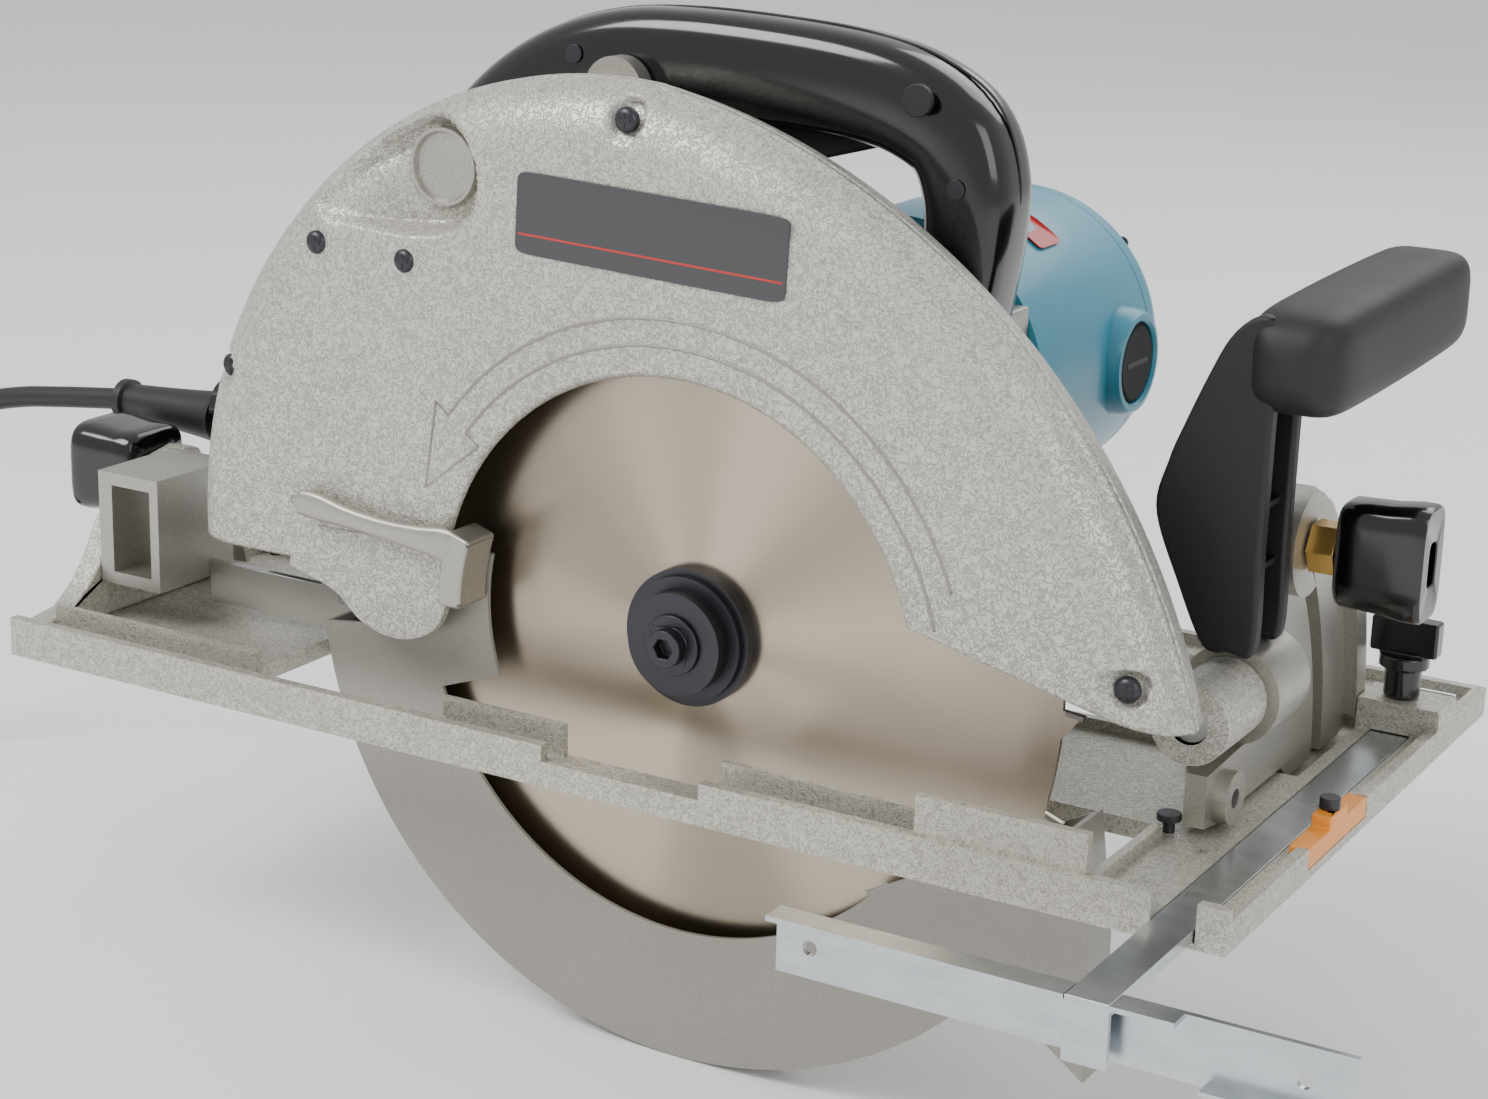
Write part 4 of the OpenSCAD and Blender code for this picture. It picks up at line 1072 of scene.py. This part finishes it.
@dataclass
class Cutting(SubAssembly):
    """Blade, flanges, bolt, lower guard and the gears behind them."""

    axis_z: float = 0.0582
    blade_radius: float = 0.1775
    teeth: int = 24
    gullet: float = 0.009

    def blade(self) -> None:
        """Builds the plate as a thin ring, with its teeth and carbide tips repeated round it."""
        low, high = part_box("blade")
        half = (high[1] - low[1]) / 2
        plate = half - 0.0003
        r, g = self.blade_radius, self.gullet
        ring = [(0.015, -plate), (0.060, -plate), (0.110, -plate), (r - g, -plate), (r - g, plate),
                (0.015, plate), (0.015, -plate)]
        parts = [sharpen(revolve("blade_plate", ring, (0, 0, self.axis_z), "y", 240))]
        root = r - g - 0.003
        tooth = np.array([[root, 0.004], [root, -0.015], [r - 0.003, -0.003], [r - 0.0002, 0],
                          [r - 0.010, 0.001]])
        face = plate - 0.00005
        tip = np.array([[r - 0.008, 0.0006], [r - 0.008, -0.001], [r - 0.0004, -0.002], [r, 0]])
        tips = []
        for k in range(self.teeth):
            a = 2 * math.pi * k / self.teeth
            turn = np.array([[math.cos(a), math.sin(a)], [-math.sin(a), math.cos(a)]])
            parts.append(slab(f"tooth_{k}", tooth @ turn + [0, self.axis_z], -face, face, "y", 0.0))
            tips.append(slab(f"tip_{k}", tip @ turn + [0, self.axis_z], -half, half, "y", 0.0))
        self.dress(joined("blade_disc", parts), BLADE_STEEL, Body.BLADE, ["blade"])
        self.dress(joined("blade_tips", tips), CARBIDE, Body.BLADE)

    def lever(self) -> None:
        """Builds the guard's lever: a tapered bar with a thumb end, and the hook at the window's edge."""
        path = smooth_path(np.array([[-190, -29.5, 92, 5.2], [-176, -30, 91, 6.0], [-160, -30, 89, 4.6],
                                     [-140, -30, 87, 4.4], [-122, -30, 86, 5.5], [-108, -29.5, 85, 7.5],
                                     [-100, -29, 82, 8.0]], float) * MM, 70)
        scale = np.stack([np.full(len(path), 0.0052), 2 * path[:, 3]], 1)
        ease = np.clip(np.minimum(np.arange(len(path)), np.arange(len(path))[::-1]) / 4, 0.35, 1)[:, None]
        bar = sweep("lever_bar", path[:, :3], squircle(1, 1, 2.8, 32), scale * ease, (0, 1, 0))
        hook = np.vstack([arc((0, 0), 0.1105, 162, 180, 22), arc((0, 0), 0.0985, 180, 162, 22)])
        plate = slab("lever_hook", hook + [0, self.axis_z], -0.0315, -0.0113, "y", 1.8)
        self.dress(joined("guard_lever_casting", [bar, plate]), LEVER_CAST, Body.GUARD, ["guard_lever"])

    def build(self) -> None:
        """Dresses the drive and refines what shows."""
        self.blade()
        self.lever()
        self.refine("outer_flange", BLACK_OXIDE, Body.BLADE, 0.0)
        self.refine("inner_flange", BLACK_OXIDE, Body.BLADE, 0.5)
        self.refine("blade_bolt", BLACK_OXIDE, Body.BLADE, 0.5)
        self.refine("lower_guard", GUARD_LACQUER_AND_ARROW_SHADE, Body.GUARD, 0.0)
        for node in ("spindle", "spindle_gear", "gear_bearings", "armature_bearings"):
            self.keep(node, BRIGHT_STEEL)
        for node in ("intermediate_shaft", "intermediate_gear", "armature_shaft"):
            self.keep(node, BRIGHT_STEEL)
        self.keep("armature_core", CORE_STEEL)
        self.keep("field_stator", CORE_STEEL)
        self.keep("commutator", COPPER)
        self.keep("cooling_fan", MATTE_BLACK)
        self.keep("carbon_brushes", CARBON_AND_PAINTED_SHADE)
        self.keep("brush_holders", BRASS)


# ---- Motor ----


@dataclass
class Motor(SubAssembly):
    """Motor housing, end cover, brush caps and gear housing."""

    radius: float = 0.069
    brush_y: float = 0.172
    vents: int = 16
    vent_ring: float = 0.050

    def centre(self) -> tuple[float, float]:
        """X and Z of the motor's axis."""
        low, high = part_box("commutator")
        return (low[0] + high[0]) / 2, (low[2] + high[2]) / 2

    def housing(self, x: float, z: float) -> None:
        """Builds the barrel with both brush bosses."""
        r = self.radius
        outside = [(r - 0.003, 0.0843), (r, 0.0843), (r + 0.0006, 0.100), (r + 0.0010, 0.140), (r, 0.175),
                   (r - 0.0018, 0.1997), (r - 0.0050, 0.1997), (r - 0.003, 0.18), (r - 0.003, 0.0843)]
        parts = [sharpen(revolve("housing_barrel", outside, (x, 0, z), "y", 128))]
        for i, side in enumerate((-1, 1)):
            profile = [(0.0182, side * 0.055), (0.0182, side * 0.0735), (0.0195, side * 0.0748),
                       (0.0215, side * 0.0745), (0.0232, side * 0.0722), (0.0240, side * 0.066),
                       (0.0262, side * 0.056), (0.030, side * 0.045), (0.0182, side * 0.045)]
            boss = revolve(f"brush_boss_{i}", profile, (x, self.brush_y, z), "x", 64)
            parts.append(sharpen(boss, 40))
        self.dress(joined("motor_housing_shell", parts), TEAL, Body.HEAD, ["motor_housing"])

    def end_cover(self, x: float, z: float) -> None:
        """Builds the domed end cover, and dark slots of painted shade where its vents open."""
        r = self.radius
        a = np.radians(np.linspace(0, 90, 14))
        crown = zip(np.cos(a), np.sin(a))
        dome = [(r - 0.0020 - 0.030 * (1 - c), 0.2003 + 0.004 + 0.0237 * s) for c, s in crown]
        profile = [(0.050, 0.2003), (r - 0.0018, 0.2003), *dome, (0.018, 0.2280), (0.0, 0.2279)]
        cap = sharpen(revolve("end_cover_dome", profile, (x, 0, z), "y", 128), 50)
        self.dress(cap, TEAL, Body.HEAD, ["motor_end_cover"])
        outline = squircle(0.0165, 0.0042, 3, 20)
        # The vent slots are dark pieces standing for the shade inside the vents, not cut openings.
        vent_shades = []
        for k in range(self.vents):
            turn = 2 * math.pi * k / self.vents
            c, s = math.cos(turn), math.sin(turn)
            place = outline @ np.array([[c, -s], [s, c]]).T + [x + self.vent_ring * c, z + self.vent_ring * s]
            vent_shades.append(slab(f"vent_{k}", place, 0.215, 0.2245, "y", 0.1))
        self.dress(joined("motor_vent_shade", vent_shades), CARBON_AND_PAINTED_SHADE, Body.HEAD)

    def brush_caps(self, x: float, z: float) -> None:
        """Builds the slotted cap in each brush boss."""
        for i, side in enumerate((-1, 1)):
            profile = [(0, side * 0.0738), (0.0160, side * 0.0738), (0.0179, side * 0.0722),
                       (0.0179, side * 0.062), (0, side * 0.062)]
            disc = revolve(f"brush_cap_disc_{i}", profile, (x, self.brush_y, z), "x", 48)
            self.dress(sharpen(disc), CAP_BLACK, Body.HEAD, ["brush_caps"])
            slot = np.array([[-0.011, -0.0012], [0.011, -0.0012], [0.011, 0.0012], [-0.011, 0.0012]])
            ends = sorted((x + side * 0.0733, x + side * 0.0740))
            groove = slab(f"brush_cap_slot_{i}", slot + [self.brush_y, z], ends[0], ends[1], "x", 0.1)
            self.dress(groove, CARBON_AND_PAINTED_SHADE, Body.HEAD)

    def build(self) -> None:
        """Builds the motor's shells, its caps, the gear housing and a blank badge."""
        x, z = self.centre()
        self.housing(x, z)
        self.end_cover(x, z)
        self.brush_caps(x, z)
        self.refine("gear_housing", CAST_ZINC, Body.HEAD, 1.2)
        self.refine("motor_screws", BLACK_OXIDE, Body.HEAD, 0.3)
        badge = slab("motor_badge", squircle(0.030, 0.022, 8, 48) + [0.085, 0.135], 0, 0.0006, "z", 0.1)
        self.wrap_badge(badge, x, z)
        self.dress(badge, RED, Body.HEAD)

    def wrap_badge(self, badge: Any, x: float, z: float) -> None:
        """Bends the flat badge round the housing: its X turns into an angle about the motor's axis."""
        count = len(badge.data.vertices)
        co = np.zeros(count * 3)
        badge.data.vertices.foreach_get("co", co)
        co = co.reshape(-1, 3)
        angle = math.radians(62) - (co[:, 0] - 0.085) / self.radius
        reach = self.radius + 0.0016 + co[:, 2]
        moved = np.stack([x + reach * np.cos(angle), co[:, 1], z + reach * np.sin(angle)], 1)
        badge.data.vertices.foreach_set("co", moved.ravel())
        badge.data.update()


# ---- Handles ----


@dataclass
class Handles(SubAssembly):
    """Main loop handle, trigger, buttons and the front grip."""

    axis_z: float = 0.0582
    width: float = 0.040

    def loop(self) -> None:
        """Builds the loop as one rounded bar over the top and a thinner one below the hand."""
        arch = np.array([
            [92, 50, 134, 16], [94, 50, 152, 17], [96, 50, 172, 18], [95, 50, 193, 19.5], [87, 50, 211, 20.5],
            [68, 50, 222, 21], [45, 50, 227, 21.5], [10, 50, 229.5, 22], [-35, 50, 230, 22.5],
            [-68, 50, 227, 23], [-98, 50, 216, 24], [-124, 50, 197, 25], [-146, 50, 170, 25],
            [-167, 50, 137, 24], [-187, 50, 104, 21], [-204, 50, 76, 17], [-217, 50, 52, 13]], float)
        path = smooth_path(arch * MM, 150)
        self.bar("main_handle_arch", path, 3.4, ["handle_near_half", "handle_far_half"])
        strut = np.array([[-158, 50, 118, 9], [-130, 50, 130, 9], [-95, 50, 138, 8], [-55, 50, 142, 8],
                          [0, 50, 146, 8], [50, 50, 148, 9], [84, 50, 150, 12]], float)
        self.bar("main_handle_strut", smooth_path(strut * MM, 80), 3.4, [])
        tail = np.array([[-196, 62, 66, 12], [-212, 70, 56, 13.5], [-232, 79, 44, 15], [-256, 83.5, 36, 15.5],
                         [-290, 84, 34, 15.5], [-322, 84, 34, 15.2]], float)
        self.bar("main_handle_tail", smooth_path(tail * MM, 60), 2.2, [], 0.030)

    def bar(self, name: str, path: Array, power: float, nodes: Sequence[str],
            width: float | None = None) -> None:
        """Sweeps a superellipse along a path whose fourth column is half its thickness.

        Args:
            name: Piece name.
            path: Points about the blade's axis, with half the thickness in the fourth column.
            power: Power of the superellipse.
            nodes: CAD nodes that the bar stands for.
            width: Width across the path, or None for the handle's own.
        """
        thick = path[:, 3]
        section = squircle(1.0, 1.0, power, 44)
        scale = np.stack([np.full(len(path), width or self.width), 2 * thick], 1)
        places = path[:, :3] + [0, 0, self.axis_z]
        piece = sweep(name, places, section, scale, (0, 1, 0))
        self.dress(sharpen(piece, 50), GLOSS_BLACK, Body.HEAD, nodes)

    def seam(self) -> None:
        """Lays the thin parting line over the top of the loop, where both halves meet."""
        arch = np.array([[109, 50, 160], [114.5, 50, 193], [104, 50, 224], [78, 50, 241], [46, 50, 248.6],
                         [10, 50, 251.6], [-35, 50, 252.5], [-74, 50, 249], [-108, 50, 238],
                         [-140, 50, 216]], float)
        line = tube("handle_parting_line", smooth_path(arch * MM + [0, 0, self.axis_z], 120), 0.0006, 6)
        self.dress(line, CARBON_AND_PAINTED_SHADE, Body.HEAD)

    def grip(self) -> None:
        """Builds the front grip: two cheeks and a web make the arm, and a crowned bar sits on it."""
        side_corners = np.array([[204, 78], [191, 103], [180, 131], [184, 152], [189, 166], [198, 188],
                                 [206, 204], [216, 213], [224, 212], [225, 200], [225, 160], [225, 120],
                                 [225, 79], [215, 77.6]])
        web_corners = np.array([[204, 79], [191, 103], [181, 131], [185, 152], [190, 166], [199, 188],
                                [207, 204], [214, 208], [212, 180], [207, 160], [206, 110], [206, 80]])
        side = smooth_outline(side_corners * MM)
        web = smooth_outline(web_corners * MM)
        low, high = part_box("front_grip")
        parts = [slab("grip_cheek_near", side, 0.050, 0.0585, "y", 2.2),
                 slab("grip_cheek_far", side, 0.0795, 0.0873, "y", 2.2),
                 slab("grip_web", web, 0.056, 0.082, "y", 0.6)]
        for i, z in enumerate((0.105, 0.130)):
            rib = np.array([[0.203, z], [0.221, z + 0.004], [0.221, z + 0.0065], [0.203, z + 0.0025]])
            parts.append(slab(f"grip_rib_{i}", rib, 0.057, 0.081, "y", 0.3))
        ends = np.radians(np.linspace(-90, 90, 46))
        place = 0.135 + 0.090 * np.sign(np.sin(ends)) * (1 - (1 - np.abs(np.sin(ends))) ** 1.35)
        swell = np.clip(1 - np.abs((place - 0.135) / 0.090) ** 14, 0, 1) ** 0.5
        t = (place - 0.045) / 0.18
        path = np.stack([0.2305 + 0.0010 * t, place, 0.1945 + 0.004 * t], 1)
        crown = 1 - 0.05 * (2 * t - 1) ** 2
        scale = np.stack([0.042 * swell * crown, 0.0435 * swell * crown], 1)
        scale = np.maximum(scale, 1e-4)
        section = squircle(1.0, 1.0, 4.2, 48)
        parts.append(sweep("grip_bar", path, section, scale, (1, 0, 0)))
        whole = joined("front_grip_body", parts)
        self.dress(whole, MATTE_BLACK, Body.TILT, ["front_grip"])
        self.refine("grip_screws", BLACK_OXIDE, Body.TILT, 0.4)

    def build(self) -> None:
        """Builds the handle, the grip and the controls."""
        self.loop()
        self.seam()
        self.grip()
        self.refine("trigger", MATTE_BLACK, Body.TRIGGER, 1.5)
        self.refine("lock_off_button", MATTE_BLACK, Body.LOCK_OFF, 0.6)
        self.refine("shaft_lock_button", MATTE_BLACK, Body.SHAFT_LOCK, 0.6)
        self.refine("handle_screws", BLACK_OXIDE, Body.HEAD, 0.2)
        self.keep("power_switch", MATTE_BLACK)


# ---- Base and brackets ----


@dataclass
class BaseFrame(SubAssembly):
    """Base casting, quadrant, brackets, clamp knobs and the rip guide."""

    def knob(self, name: str, node: str, body: Body, x0: float, x1: float) -> None:
        """Builds a clamp knob: a waisted block along X with a round recess in its outer end.

        Args:
            name: Piece name.
            node: CAD node it stands for.
            body: Its body.
            x0: Place of its inner end.
            x1: Place of its outer end.
        """
        low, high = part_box(node)
        y, z = (low[1] + high[1]) / 2, (low[2] + high[2]) / 2
        wide, tall = high[1] - low[1], high[2] - low[2]
        s = np.array([0, 0.0, 0.03, 0.08, 0.3, 0.55, 0.8, 0.93, 0.975, 1.0, 1.0, 0.985, 0.7, 0.68, 0.68])
        f = np.array([0, 0.80, 0.88, 0.92, 0.93, 0.95, 1.0, 1.0, 0.985, 0.95, 0.42, 0.38, 0.36, 0.34, 0.0])
        x = x0 + (x1 - x0) * s
        path = np.stack([x, np.full(len(x), y), np.full(len(x), z)], 1)
        section = squircle(1.0, 1.0, 4.5, 52)
        ahead = 1.0 if x1 > x0 else -1.0
        across = f[:, None] * wide * section[None, :, 0] * ahead
        upward = f[:, None] * tall * section[None, :, 1]
        rings = path[:, None] + np.stack([np.zeros((len(x), 52)), across, upward], -1)
        piece = make_object(name, rings, grid_faces(len(x), 52, False, True))
        self.dress(sharpen(piece, 40), GLOSS_BLACK, body, [node])

    def build(self) -> None:
        """Refines the castings and builds the knobs."""
        self.refine("base_plate", BASE_PAINT, Body.BASE, 0.0)
        self.refine("rear_quadrant", BASE_PAINT, Body.BASE, 1.5)
        self.refine("front_post", CAST_ZINC, Body.BASE, 1.0)
        self.refine("clamp_studs", BRIGHT_STEEL, Body.BASE, 0.4)
        self.refine("top_guide", ORANGE, Body.BASE, 0.8)
        self.refine("base_screws", BLACK_OXIDE, Body.BASE, 0.4)
        self.refine("front_bracket", CAST_ZINC, Body.TILT, 0.0)
        self.refine("rear_bracket", CAST_ZINC, Body.TILT, 0.0)
        self.refine("depth_guide", BRIGHT_STEEL, Body.TILT, 0.4)
        self.refine("depth_pivot_pin", BRIGHT_STEEL, Body.TILT, 0.5)
        self.refine("clamp_nut", BRASS, Body.FRONT_KNOB, 0.4)
        self.refine("guide_rule", ZINC_PLATE, Body.RIP_GUIDE, 0.0)
        self.refine("guide_arm", ZINC_PLATE, Body.RIP_GUIDE, 0.3)
        self.refine("rule_clamp_screw", GLOSS_BLACK, Body.RULE_SCREW, 1.2)
        self.refine("depth_lever", MATTE_BLACK, Body.DEPTH_CLAMP, 2.0)
        low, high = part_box("front_bevel_knob")
        self.knob("front_knob_block", "front_bevel_knob", Body.FRONT_KNOB, low[0] + 0.0005, high[0])
        low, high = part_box("rear_bevel_knob")
        self.knob("rear_knob_block", "rear_bevel_knob", Body.REAR_KNOB, high[0] - 0.0005, low[0])


def main() -> None:
    """Builds the studio, the cord and each sub-assembly in order."""
    logging.basicConfig(level=logging.INFO, format="%(name)s: %(message)s")
    Studio().build()
    PowerCord().build()
    for part in (BladeCase(), Cutting(), Motor(), Handles(), BaseFrame()):
        part.build()
        LOG.info("%s: %d pieces", type(part).__name__, len(part.made))


if __name__ == "__main__":
    main()
